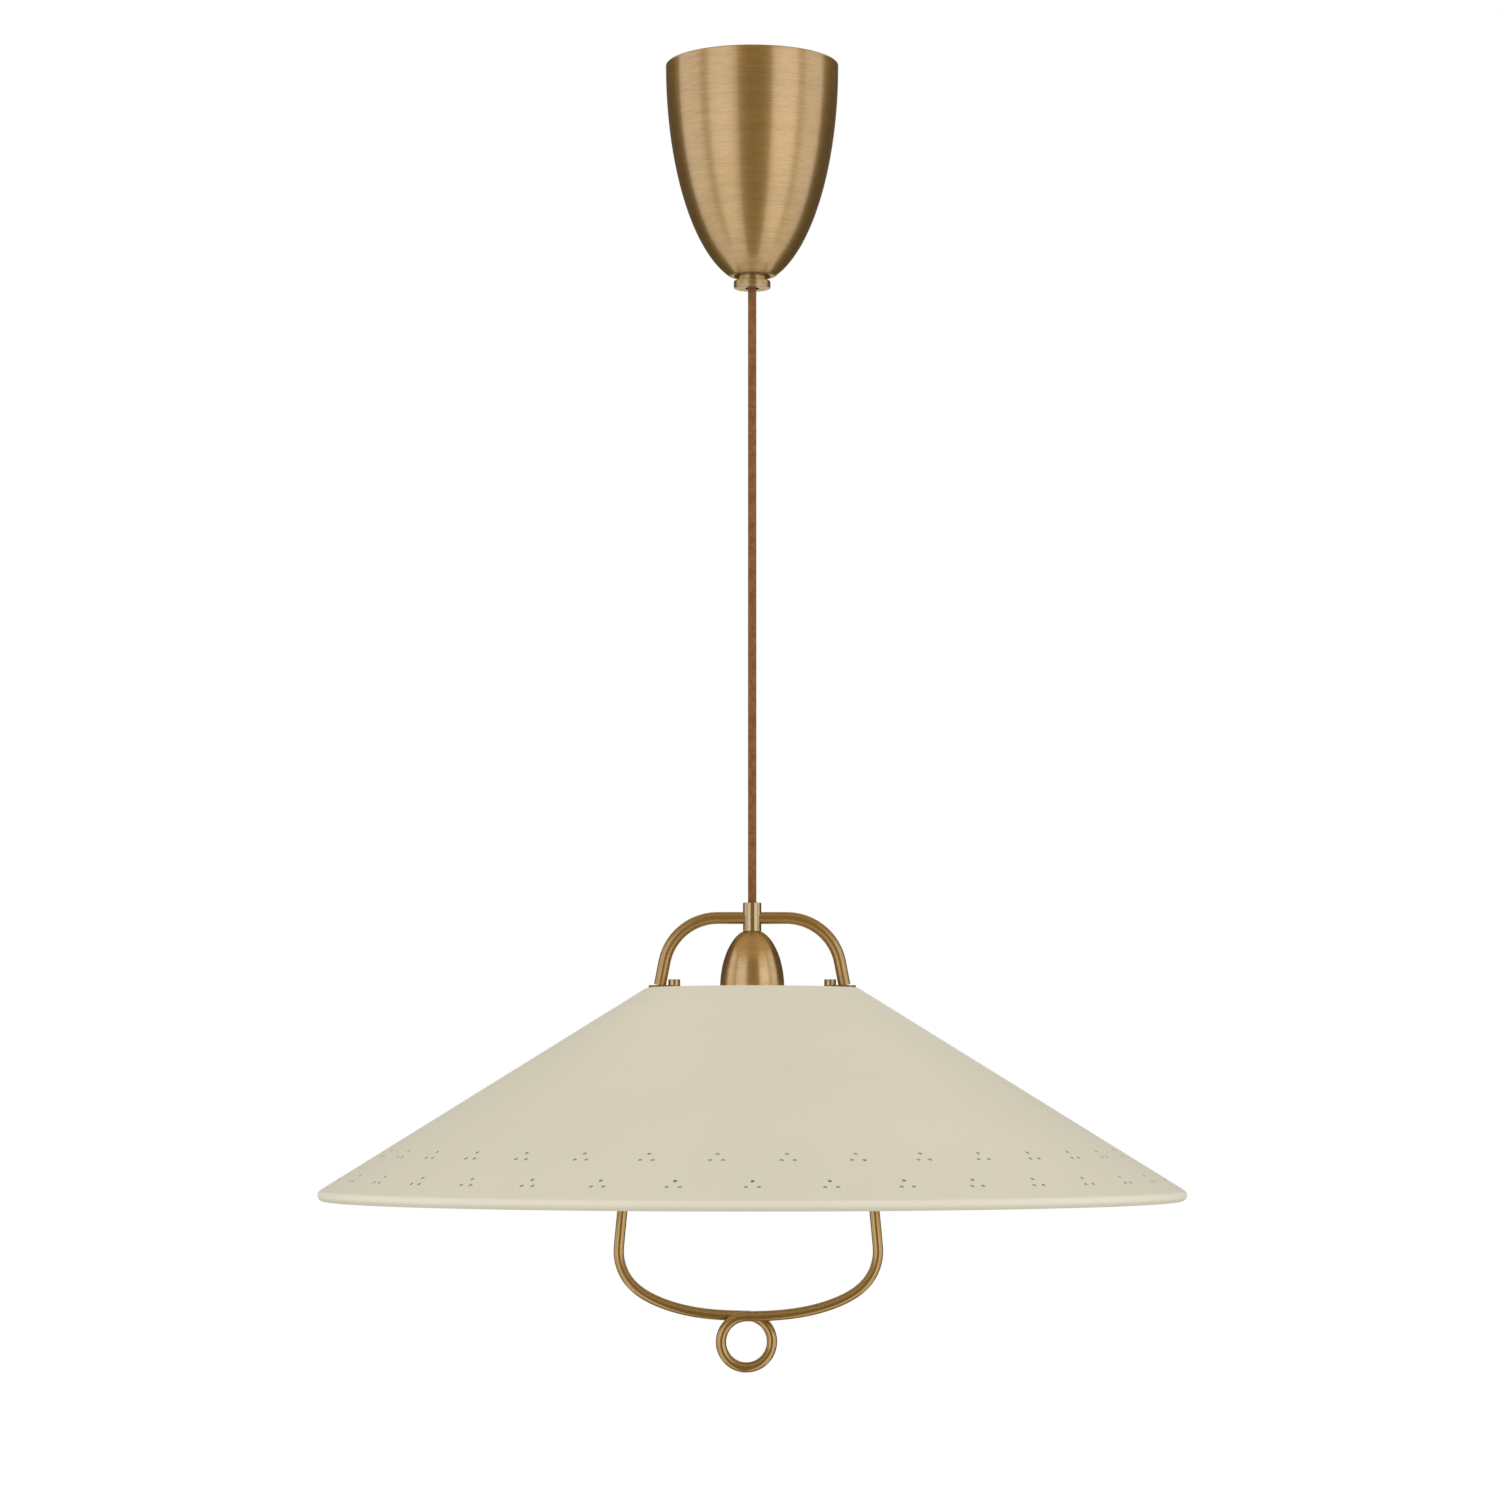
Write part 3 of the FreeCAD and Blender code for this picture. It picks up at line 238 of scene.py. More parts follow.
def rod_bmesh(line, radius, sides=36):
    """A round rod along a line, one ring at each place, with its own place and direction stored."""
    bm = bmesh.new()
    place_layer = bm.verts.layers.float_vector.new("rod_place")
    across_layer = bm.verts.layers.float_vector.new("rod_across")
    side = (line[1] - line[0]).normalized().orthogonal().normalized()
    ring = bmesh.ops.create_circle(bm, segments=sides, radius=radius, cap_ends=True)["verts"]
    edges = bm.edges[:]
    here = Matrix.Identity(4)
    run = 0.0
    for i, point in enumerate(line):
        heading = (line[min(i + 1, len(line) - 1)] - line[max(i - 1, 0)]).normalized()
        side = (side - heading * side.dot(heading)).normalized()
        third = heading.cross(side)
        there = Matrix((side, third, heading)).transposed().to_4x4()
        there.translation = point
        if i:
            run += (point - line[i - 1]).length
            grown = bmesh.ops.extrude_edge_only(bm, edges=edges)["geom"]
            edges = only(grown, BMEdge)
            ring = only(grown, BMVert)
        bmesh.ops.transform(bm, verts=ring, matrix=there @ here.inverted())
        here = there
        for vert in ring:
            out = (vert.co - point).normalized()
            vert[place_layer] = (out.dot(side) * radius, out.dot(third) * radius, run)
            vert[across_layer] = heading.cross(out)
    bmesh.ops.holes_fill(bm, edges=edges)
    bmesh.ops.recalc_face_normals(bm, faces=bm.faces)
    return bm


low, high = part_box("pendant_cord")
cord_points = [(0, 0, z) for z in (high.z, (low.z + high.z) / 2, low.z)]
cord_line = read_route("cord_route", cord_points, CORD_FINENESS)
# The cord's last stretch, where it goes into the sleeve, gets painted shade.
braid = braid_material("cotton_braid", high.z - low.z - SLEEVE_SHADE_LENGTH)
cord = finish_mesh("braided_cord", rod_bmesh(cord_line, CORD_R, CORD_SIDES), braid,
                   "pendant_cord")
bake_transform(cord)

# -------- cord inside the cup
# The cord comes off the spring drum, bends over the guide pulley and goes down to the mouth. Four turns
# lie side by side on the drum's hub, and one lies over them beside the turn that leaves.
AXLE_Z = -0.062
LEAD_ROUTE = ((-0.02658, 0, -0.07881), (-0.00214, 0, -0.11742), (0, 0, -0.12080), (0, 0, -0.12480),
              (0, 0, -0.16100))
LEAD_SIDES, LEAD_FINENESS = 24, 12
LAYER_R = (0.02515, 0.03145)
LAYER_PITCH = 0.0063
LAYER_TURNS = 4
TURN_POINTS = 14
CLIMB_POINTS = 3
LEAVE_TURN = radians(212.3)
WINDING_SIDES, WINDING_FINENESS = 20, 6
# Longer than any cord, so the cord inside the cup gets no painted shade.
UNSHADED_RUN = 10.0


def drum_route():
    """The winding's control points: along the hub in one layer, then a turn of the next layer. They lie
    a little outside the circle that the spline draws."""
    reach = 4 / (3 + cos(2 * pi / TURN_POINTS))
    first, last = (LAYER_TURNS - 1) * TURN_POINTS, LAYER_TURNS * TURN_POINTS
    start = LAYER_PITCH * (LAYER_TURNS - 1) / 2
    points = []
    for i in range(last + 1):
        layer = min(max((i - first) / CLIMB_POINTS, 0.0), 1.0)
        radius = (LAYER_R[0] + (LAYER_R[1] - LAYER_R[0]) * layer) * reach
        y = start - LAYER_PITCH * min(i / TURN_POINTS, LAYER_TURNS - 1)
        turn = LEAVE_TURN + 2 * pi * (i - last) / TURN_POINTS
        points.append((radius * cos(turn), y, AXLE_Z + radius * sin(turn)))
    return points


unshaded_braid = braid_material("unshaded_cotton_braid", UNSHADED_RUN)
lead_line = read_route("lead_route", LEAD_ROUTE, LEAD_FINENESS)
lead = finish_mesh("inner_cord", rod_bmesh(lead_line, CORD_R, LEAD_SIDES), unshaded_braid,
                   "cord_lead", "root")
winding = rod_bmesh(read_route("winding_route", drum_route(), WINDING_FINENESS), CORD_R, WINDING_SIDES)
finish_mesh("cord_winding", winding, unshaded_braid, "wound_cord", "drum")

# -------- studio
# A white card behind the lamp and a pale floor far below it, in soft even light. Two tall softboxes stand
# left and right of the camera, and two lamps light the sides. Dark and grey cards, which show only in
# reflections, give the brass its dark middle and edges.
CARD_BACK = 2.4
CARD_WIDTH = 2.1
CARD_LOW, CARD_HIGH = -1.7, 0.75
CARD_COLOUR, FLOOR_COLOUR = (0.85, 0.85, 0.85, 1), (0.80, 0.80, 0.79, 1)
FLOOR_Z = -2.4
FLOOR_SIZE = 18.0
FILL_LEVEL = 1.02
WHITE = (1, 1, 1, 1)
# azimuth from the camera's side in degrees, distance, width, height, middle height, radiance
SOFTBOXES = {
    "softbox_left": (-43.0, 2.3, 1.30, 3.4, -0.5, 0.22),
    "softbox_right": (46.0, 2.3, 1.40, 3.4, -0.5, 0.30),
}
SIDE_LAMPS = {
    "side_lamp_left": (-84.0, 2.4, 1.40, 3.2, -0.6, 0.52),
    "side_lamp_right": (84.0, 2.4, 1.40, 3.2, -0.6, 0.54),
}
DARK_CARDS = {
    "dark_card_front": (3.5, 3.6, 3.05, 6.0, -0.9, 0.31),
    "dark_card_back_left": (-144.5, 2.2, 2.75, 3.3, -0.9, 0.13),
    "dark_card_back_right": (141.0, 2.2, 2.85, 3.3, -0.9, 0.13),
}
GREY_CARDS = {
    "grey_card_left": (-67.0, 2.4, 0.50, 3.6, -0.6, 0.52),
    "grey_card_right": (69.0, 2.4, 0.42, 3.6, -0.6, 0.58),
}
DARK_TINT, GREY_TINT, MATT_BLACK = (1.0, 0.80, 0.48, 1), (1.0, 0.97, 0.92, 1), (0.02, 0.02, 0.02, 1)
FLOOR_CARD_NEAR, FLOOR_CARD_TAPER, FLOOR_CARD_LIFT = 0.12, 0.03, 0.005
FLOOR_CARD_BACK = (2.6, 2.2)
OVERHEAD_Z, OVERHEAD_SIZE, OVERHEAD_LEVEL, OVERHEAD_COLOUR = 1.4, 6.0, 0.56, (0.3, 0.3, 0.3, 1)
SEEN_RAYS = ("Is Camera Ray", "Is Glossy Ray", "Is Transmission Ray")
MIRRORED_RAYS = ("Is Glossy Ray",)


def is_ray(tree, kinds):
    """1 for the named kinds of ray, and 0 for all others."""
    path = add_node(tree, "LightPath").outputs
    found = path[kinds[0]]
    for kind in kinds[1:]:
        found = calc(tree, "MAXIMUM", found, path[kind])
    return found


def mix_shaders(tree, share, first, second):
    return add_node(tree, "MixShader", [(0, share), (1, first), (2, second)]).outputs[0]


def stage_material(name, colour, glow=0.0, rays=(), tint=WHITE):
    """A matt sheet that is seen from its front only; its own level shows to the named kinds of ray."""
    material, tree, shader = new_material(name)
    fill_inputs(tree, shader, [("Base Color", colour), ("Roughness", 0.9)])
    face = shader.outputs[0]
    if rays:
        lamp = add_node(tree, "Emission", [("Color", tint), ("Strength", glow)]).outputs[0]
        face = mix_shaders(tree, is_ray(tree, rays), face, lamp)
    back = add_node(tree, "NewGeometry").outputs["Backfacing"]
    clear = add_node(tree, "BsdfTransparent").outputs[0]
    output = tree.nodes["Material Output"]
    fill_inputs(tree, output, [("Surface", mix_shaders(tree, back, face, clear))])
    return material


def stage_sheet(name, material, width, height, place, on_camera=True, taper=1.0):
    """A flat sheet, not part of the lamp; off camera it shows only in mirrored light."""
    bm = bmesh.new()
    bmesh.ops.create_grid(bm, x_segments=1, y_segments=1, size=0.5)
    bmesh.ops.scale(bm, verts=bm.verts, vec=(width, height, 1.0))
    bmesh.ops.scale(bm, verts=[vert for vert in bm.verts if vert.co.y > 0], vec=(taper, 1.0, 1.0))
    bmesh.ops.transform(bm, verts=bm.verts, matrix=place)
    sheet = add_object(name, bm, material)
    sheet.visible_camera = sheet.visible_diffuse = sheet.visible_shadow = on_camera


def facing_place(azimuth, distance, middle):
    """A place on a circle round the lamp for an upright sheet that faces it."""
    turn = radians(azimuth)
    spot = Matrix.Translation((distance * sin(turn), -distance * cos(turn), middle))
    return spot @ Matrix.Rotation(turn, 4, "Z") @ Matrix.Rotation(-pi / 2, 4, "X")


stage_sheet("white_card", stage_material("card_white", CARD_COLOUR, 1.0, SEEN_RAYS),
            CARD_WIDTH, CARD_HIGH - CARD_LOW, facing_place(180.0, CARD_BACK, (CARD_LOW + CARD_HIGH) / 2))
stage_sheet("pale_floor", stage_material("floor_pale", FLOOR_COLOUR), FLOOR_SIZE, FLOOR_SIZE,
            Matrix.Translation((0, 0, FLOOR_Z)))
for cards, tint in ((DARK_CARDS, DARK_TINT), (GREY_CARDS, GREY_TINT)):
    for name, (azimuth, distance, width, height, middle, level) in cards.items():
        stage_sheet(name, stage_material(name, MATT_BLACK, level, MIRRORED_RAYS, tint), width, height,
                    facing_place(azimuth, distance, middle), on_camera=False)
azimuth, distance, width, _, _, level = DARK_CARDS["dark_card_front"]
dark_floor = stage_material("dark_card_floor", MATT_BLACK, level, MIRRORED_RAYS, DARK_TINT)
stage_sheet("dark_card_floor", dark_floor, width, distance - FLOOR_CARD_NEAR,
            Matrix.Rotation(radians(azimuth), 4, "Z")
            @ Matrix.Translation((0.0, -(distance + FLOOR_CARD_NEAR) / 2, FLOOR_Z + FLOOR_CARD_LIFT)),
            on_camera=False, taper=FLOOR_CARD_TAPER)
stage_sheet("dark_card_floor_back", dark_floor, *FLOOR_CARD_BACK,
            Matrix.Translation((0.0, FLOOR_CARD_BACK[1] / 2, FLOOR_Z + FLOOR_CARD_LIFT)), on_camera=False)
overhead = stage_material("overhead_card", OVERHEAD_COLOUR, OVERHEAD_LEVEL, MIRRORED_RAYS, DARK_TINT)
stage_sheet("overhead_card", overhead, OVERHEAD_SIZE, OVERHEAD_SIZE,
            Matrix.Translation((0, 0, OVERHEAD_Z)) @ Matrix.Rotation(pi, 4, "X"), on_camera=False)

for name, (azimuth, distance, width, height, middle, radiance) in (SOFTBOXES | SIDE_LAMPS).items():
    box = bpy.data.lights.new(name, "AREA")
    box.shape = "RECTANGLE"
    box.size, box.size_y = width, height
    box.energy = radiance * pi * width * height
    holder = bpy.data.objects.new(name, box)
    holder.visible_glossy = name in SOFTBOXES
    turn = radians(azimuth)
    holder.location = (distance * sin(turn), -distance * cos(turn), middle)
    holder.rotation_euler = (pi / 2, 0.0, turn)
    bpy.context.scene.collection.objects.link(holder)

world = bpy.data.worlds.new("studio")
bpy.context.scene.world = world
world.use_nodes = True
sky = world.node_tree
fill, white = [add_node(sky, "Background", [("Color", WHITE), ("Strength", level)]).outputs[0]
               for level in (FILL_LEVEL, 1.0)]
seen_sky = mix_shaders(sky, is_ray(sky, SEEN_RAYS), fill, white)
fill_inputs(sky, sky.nodes["World Output"], [("Surface", seen_sky)])
bpy.context.scene.view_settings.view_transform = "Standard"

# -------- ceiling cup
# Sheet brass spun to half an ellipsoid, 124 mm across, brushed round its axis and lacquered. Its lip is
# rolled under, and a recessed floor takes the outlet tube.
CUP_R = 0.0622
CUP_CURVE_HEIGHT = 0.1593
CUP_DEPTH = 0.1540
CUP_WALL = 0.0012
CUP_LIP_R = 0.0022
CUP_TURN_R = 0.0055
CUP_TURN_DEG = -53.2
CUP_LIP_CENTRE_R = 0.01415
CUP_CURVE_LOW_Z = -0.1529
CUP_EDGE, CUP_RIM_FLAT, CUP_EASE = 0.0006, 0.0009, 0.0004
CUP_FLOOR_Z = -0.1510
CUP_BORE_R = 0.0061
# Under the rolled lip the brass is painted greyer and unlacquered, as painted shade in that crease: where it
# begins, where it is full, and its colour.
LIP_PAINTED_SHADE = (-0.1518, -0.1534, (0.520, 0.405, 0.245, 1))
TURN_STEPS = 192
# The second colour is painted shade, darkening the edge of the cord's mouth.
BRASS_TINT, MOUTH_SHADE = (0.82, 0.70, 0.50, 1), (0.030, 0.022, 0.012, 1)
SPUN_FINENESS, SPUN_RELIEF, SPUN_SQUEEZE = 4700.0, 0.20, 0.05


def vector_calc(tree, operation, *values):
    """One Vector Math node, and its result."""
    made = add_node(tree, "VectorMath", list(enumerate(values)), operation=operation)
    return made.outputs["Value" if operation in ("LENGTH", "DOT_PRODUCT") else "Vector"]


def object_place(tree):
    return add_node(tree, "TexCoord").outputs["Object"]


def brush_group():
    """Fine brush marks at a place that is squeezed along the marks: streaks, and a slow drift of tone."""
    group = bpy.data.node_groups.new("brush_marks", "ShaderNodeTree")
    for name, side, kind in (("Place", "INPUT", "Vector"), ("Fineness", "INPUT", "Float"),
                             ("Streaks", "OUTPUT", "Float"), ("Drift", "OUTPUT", "Float")):
        group.interface.new_socket(name, in_out=side, socket_type="NodeSocket" + kind)
    given = group.nodes.new("NodeGroupInput").outputs
    place, fineness = given["Place"], given["Fineness"]
    fine = noise(group, place, fineness, 2.0, 0.6)
    coarse = noise(group, place, calc(group, "MULTIPLY", fineness, 0.32), 2.0)
    slow = noise(group, place, calc(group, "MULTIPLY", fineness, 0.03), 2.0)
    both = calc(group, "ADD", calc(group, "MULTIPLY", fine, 0.45), calc(group, "MULTIPLY", coarse, 0.55))
    fill_inputs(group, group.nodes.new("NodeGroupOutput"), [("Streaks", both), ("Drift", slow)])
    return group


brush_marks = brush_group()


def finish_brass(tree, shader, place, across, fineness, light, dark, rough, stretch, lacquer, relief, sheen):
    """The parts that every brushed brass has: streaked colour and roughness, a bump, and clear lacquer."""
    marks = add_node(tree, "Group", node_tree=brush_marks)
    fill_inputs(tree, marks, [("Place", place), ("Fineness", fineness)])
    streaks, drift = marks.outputs["Streaks"], marks.outputs["Drift"]
    tone = calc(tree, "ADD", spread(tree, streaks, 0.35, 0.65, 0.0, 0.75),
                spread(tree, drift, 0.3, 0.7, 0.0, 0.25))
    fill_inputs(tree, shader, [
        ("Base Color", blend_colours(tree, tone, light, dark)),
        ("Roughness", spread(tree, streaks, 0.3, 0.7, rough * 0.92, rough * 1.08)),
        ("Metallic", 1.0), ("Specular Tint", BRASS_TINT), ("Anisotropic", stretch), ("Tangent", across),
        ("Coat Weight", sheen), ("Coat Roughness", 0.16), ("Coat IOR", lacquer)])
    set_normal(tree, shader, streaks, relief, 0.0001)


def spun_brass(name, light, dark, rough, stretch=0.6, lacquer=2.0, sheen=1.0, painted_tone=None, shaded_r=0.0):
    """Brass brushed round the Z axis: the marks run round, so light spreads up and down. The painted tone
    gives the heights where it begins and is full, and its colour, and takes the lacquer off there: painted
    shade under the cup's lip, a painted reflection on the collar's underside. Inside the given radius the
    brass is painted dark, as shade."""
    material, tree, shader = new_material(name)
    axes = add_node(tree, "SeparateXYZ", [(0, object_place(tree))]).outputs
    flat = add_node(tree, "CombineXYZ", [(0, axes[0]), (1, axes[1])]).outputs[0]
    radius = vector_calc(tree, "LENGTH", flat)
    squeezed = [(i, calc(tree, "MULTIPLY", axes[i], SPUN_SQUEEZE)) for i in (0, 1)]
    squeezed.append((2, calc(tree, "ADD", axes[2], radius)))
    place = add_node(tree, "CombineXYZ", squeezed).outputs[0]
    normal = add_node(tree, "NewGeometry").outputs["Normal"]
    round_way = vector_calc(tree, "CROSS_PRODUCT", (0, 0, 1), flat)
    across = vector_calc(tree, "CROSS_PRODUCT", round_way, normal)
    finish_brass(tree, shader, place, across, SPUN_FINENESS, light, dark, rough, stretch, lacquer,
                 SPUN_RELIEF, sheen)
    # The painted tone (painted shade under the cup's lip, a painted reflection on the collar's underside),
    # then painted shade in the cord's mouth.
    if painted_tone:
        begins, full, painted_colour = painted_tone
        bright = shader.inputs["Base Color"].links[0].from_socket
        share = spread(tree, axes[2], begins, full, 0.0, 1.0)
        varied = blend_colours(tree, share, bright, painted_colour)
        in_mouth_shade = calc(tree, "LESS_THAN", radius, shaded_r)
        fill_inputs(tree, shader, [("Base Color", blend_colours(tree, in_mouth_shade, varied, MOUTH_SHADE)),
                                   ("Coat Weight", spread(tree, share, 0.0, 1.0, sheen, 0.0))])
    return material


def turned_bmesh(profile, steps=TURN_STEPS):
    """A closed profile of (radius, z) points, turned full round the Z axis."""
    bm = bmesh.new()
    verts = [bm.verts.new((r, 0.0, z)) for r, z in profile]
    edges = [bm.edges.new(pair) for pair in zip(verts, verts[1:] + verts[:1])]
    bmesh.ops.spin(bm, geom=verts + edges, cent=(0, 0, 0), axis=(0, 0, 1), angle=2 * pi, steps=steps,
                   use_merge=True)
    bmesh.ops.remove_doubles(bm, verts=bm.verts, dist=1e-6)
    bmesh.ops.recalc_face_normals(bm, faces=bm.faces)
    return bm


def arc_points(centre_r, centre_z, radius, start, end, steps):
    """Points of an arc in a profile, from one angle to another in degrees, 0 being outward."""
    turns = [radians(start + (end - start) * i / steps) for i in range(steps + 1)]
    return [(centre_r + radius * cos(t), centre_z + radius * sin(t)) for t in turns]


def ellipse_points(semi_r, semi_z, z_centre, z_from, z_to, steps):
    """Points down or up the side of an upright ellipse between two heights."""
    first, last = asin((z_from - z_centre) / semi_z), asin((z_to - z_centre) / semi_z)
    turns = [first + (last - first) * i / steps for i in range(steps + 1)]
    return [(semi_r * cos(t), z_centre + semi_z * sin(t)) for t in turns]


def cup_mesh():
    """Edge, side, rolled lip, neck, recessed floor, and the same side again within the wall."""
    neck_r = CUP_LIP_CENTRE_R - CUP_LIP_R
    edge = arc_points(CUP_R - CUP_EDGE, -CUP_EDGE, CUP_EDGE, 90.0, 0.0, 4)
    outer = edge + ellipse_points(CUP_R, CUP_CURVE_HEIGHT, 0.0, -2 * CUP_EDGE, CUP_CURVE_LOW_Z, 56)
    lip = arc_points(CUP_LIP_CENTRE_R, CUP_TURN_R - CUP_DEPTH, CUP_TURN_R, CUP_TURN_DEG, -90.0, 6)[1:]
    lip += arc_points(CUP_LIP_CENTRE_R, CUP_LIP_R - CUP_DEPTH, CUP_LIP_R, -90.0, -180.0, 8)[1:]
    neck = [(neck_r, CUP_FLOOR_Z - CUP_EASE), (neck_r - CUP_EASE, CUP_FLOOR_Z)]
    floor = [(CUP_BORE_R, CUP_FLOOR_Z), (CUP_BORE_R, CUP_FLOOR_Z + CUP_WALL)]
    inner = ellipse_points(CUP_R - CUP_WALL, CUP_CURVE_HEIGHT - CUP_WALL, 0.0, CUP_FLOOR_Z + CUP_WALL,
                           -CUP_EASE, 40)
    return turned_bmesh(outer + lip + neck + floor + inner + [(CUP_R - CUP_RIM_FLAT, 0.0)])


cup_brass = spun_brass("cup_brass", (0.665, 0.410, 0.134, 1), (0.430, 0.254, 0.074, 1), 0.38,
                       painted_tone=LIP_PAINTED_SHADE)
finish_mesh("ceiling_cup", cup_mesh(), cup_brass, "canopy", "root")

# -------- outlet collar
# A turned brass disc with a neck, screwed on the outlet tube from below: it clamps the cup and guides
# the cord. Its flat underside is painted paler and greyer, a painted reflection, and the rounded edge of
# the cord's mouth is painted dark, as painted shade.
COLLAR_R = 0.01315
COLLAR_NECK_R = 0.0107
COLLAR_MOUTH_R = 0.0045
COLLAR_DISC = 0.0053
COLLAR_EDGE, COLLAR_MOUTH_EDGE, COLLAR_FILLET = 0.0006, 0.0005, 0.0003
COLLAR_LIP = 0.0016
COLLAR_THREAD_R = CUP_BORE_R - 0.00005
COLLAR_STEPS = 128

collar_low, collar_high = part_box("outlet_collar")
# The bottom of the disc is painted paler and greyer as a painted reflection: where it begins, where it is
# full, and its colour.
COLLAR_PAINTED_REFLECTION = (collar_low.z + 0.0008, collar_low.z + 0.0002, (0.660, 0.560, 0.420, 1))


def collar_mesh():
    low, top = collar_low.z, collar_low.z + COLLAR_DISC
    profile = [(COLLAR_THREAD_R, collar_high.z), (COLLAR_NECK_R, collar_high.z),
               (COLLAR_NECK_R, top + COLLAR_FILLET), (COLLAR_NECK_R + COLLAR_FILLET, top)]
    profile += arc_points(COLLAR_R - COLLAR_EDGE, top - COLLAR_EDGE, COLLAR_EDGE, 90.0, 0.0, 4)
    profile += arc_points(COLLAR_R - COLLAR_EDGE, low + COLLAR_EDGE, COLLAR_EDGE, 0.0, -90.0, 4)
    profile += arc_points(COLLAR_MOUTH_R + COLLAR_MOUTH_EDGE, low + COLLAR_MOUTH_EDGE, COLLAR_MOUTH_EDGE,
                          -90.0, -180.0, 3)
    profile += [(COLLAR_MOUTH_R, low + COLLAR_LIP), (COLLAR_THREAD_R, low + COLLAR_LIP)]
    return turned_bmesh(profile, COLLAR_STEPS)


# The cord's mouth gets painted shade inside the given radius.
collar_brass = spun_brass("collar_brass", (0.600, 0.410, 0.185, 1), (0.400, 0.262, 0.110, 1), 0.40,
                          lacquer=1.7, sheen=0.5, painted_tone=COLLAR_PAINTED_REFLECTION, shaded_r=COLLAR_MOUTH_R + COLLAR_EDGE)
finish_mesh("cord_collar", collar_mesh(), collar_brass, "outlet_collar", "root")

# -------- cord sleeve
# A turned and polished brass barrel that clamps the cord's end. The arch is brazed into its sides and
# the dome sits against its foot.
SLEEVE_R = 0.0065
SLEEVE_BORE_R = 0.0033
SLEEVE_EDGE, SLEEVE_EASE = 0.0005, 0.0003
SLEEVE_THREAD_R, SLEEVE_THREAD_DEPTH = 0.0050, 0.006
SLEEVE_STEPS = 96


def sleeve_mesh():
    low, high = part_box("cord_sleeve")
    shoulder = low.z + SLEEVE_THREAD_DEPTH
    profile = [(SLEEVE_BORE_R, high.z - SLEEVE_EASE), (SLEEVE_BORE_R + SLEEVE_EASE, high.z)]
    profile += arc_points(SLEEVE_R - SLEEVE_EDGE, high.z - SLEEVE_EDGE, SLEEVE_EDGE, 90.0, 0.0, 4)
    profile += [(SLEEVE_R, low.z + SLEEVE_EASE), (SLEEVE_R - SLEEVE_EASE, low.z), (SLEEVE_THREAD_R, low.z),
                (SLEEVE_THREAD_R, shoulder), (SLEEVE_BORE_R, shoulder)]
    return turned_bmesh(profile, SLEEVE_STEPS)


sleeve_brass = spun_brass("sleeve_brass", (0.500, 0.342, 0.138, 1), (0.400, 0.262, 0.096, 1), 0.15,
                          stretch=0.2, lacquer=2.1)
finish_mesh("brass_sleeve", sleeve_mesh(), sleeve_brass, "cord_sleeve", "lamp")

# -------- arch
# Two bent brass rods, 8.6 mm thick, come out of the sleeve's sides, turn down over the shoulders and lean
# out to their feet. The bar stock is brushed lengthwise.
ARCH_R = 0.0043
ARCH_Z = -0.61445
ARCH_START_X = 0.00429
ARCH_BEND_R = 0.0385
ARCH_LEAN = radians(10.8)
ARCH_FOOT_X = 0.0653
FOOT_TOP_Z = -0.662
ROD_STEP = 0.002
ROD_SUNK = 0.0002
BAR_FINENESS, BAR_SQUEEZE = 900.0, 0.03


def rod_brass(name, light, dark, rough):
    """Brass bar brushed along its length: the marks follow the rod, so light spreads across it."""
    material, tree, shader = new_material(name)
    place = vector_calc(tree, "MULTIPLY", attribute(tree, "rod_place"), (1.0, 1.0, BAR_SQUEEZE))
    finish_brass(tree, shader, place, attribute(tree, "rod_across"), BAR_FINENESS, light, dark, rough,
                 stretch=0.0, lacquer=1.8, relief=0.03, sheen=0.8)
    return material


def smooth_path(stations):
    """Places along a line of tangent bends; each station is a place with a heading."""
    line = []
    for (a, a_dir), (b, b_dir) in zip(stations, stations[1:]):
        chord = (b - a).length
        bend = a_dir.angle(b_dir)
        reach = chord / 3 if bend < 1e-3 else chord * 2 / 3 * tan(bend / 4) / sin(bend / 2)
        steps = max(3, round(chord / ROD_STEP))
        line += interpolate_bezier(a, a + a_dir * reach, b - b_dir * reach, b, steps)[:-1]
    return line + [stations[-1][0]]


def in_plane(x, z):
    return Vector((x, 0.0, z))


def arch_stations(side):
    """The line of one half of the arch, from inside the sleeve to its foot plate."""
    bend_low = ARCH_Z - ARCH_BEND_R * (1 - sin(ARCH_LEAN))
    low_x = ARCH_FOOT_X - (bend_low - FOOT_TOP_Z) * tan(ARCH_LEAN)
    straight = low_x - ARCH_BEND_R * cos(ARCH_LEAN)
    middle = (pi / 2 + ARCH_LEAN) / 2
    down = in_plane(side * sin(ARCH_LEAN), -cos(ARCH_LEAN))
    on_middle = in_plane(side * (straight + ARCH_BEND_R * cos(middle)),
                         ARCH_Z - ARCH_BEND_R * (1 - sin(middle)))
    out = in_plane(side, 0)
    return [(in_plane(side * ARCH_START_X, ARCH_Z), out), (in_plane(side * straight, ARCH_Z), out),
            (on_middle, in_plane(side * sin(middle), -cos(middle))),
            (in_plane(side * low_x, bend_low), down), (in_plane(side * ARCH_FOOT_X, FOOT_TOP_Z), down)]


bar_brass = rod_brass("arch_bar_brass", (0.500, 0.305, 0.094, 1), (0.430, 0.256, 0.074, 1), 0.34)
for side, name in ((-1, "left"), (1, "right")):
    half = rod_bmesh(smooth_path(arch_stations(side)), ARCH_R)
    bmesh.ops.bisect_plane(half, geom=half.verts[:] + half.edges[:] + half.faces[:],
                           plane_co=(0, 0, FOOT_TOP_Z - ROD_SUNK), plane_no=(0, 0, 1), clear_inner=True)
    finish_mesh("arch_%s" % name, half, bar_brass, "arch_rod_%s" % name, "lamp")

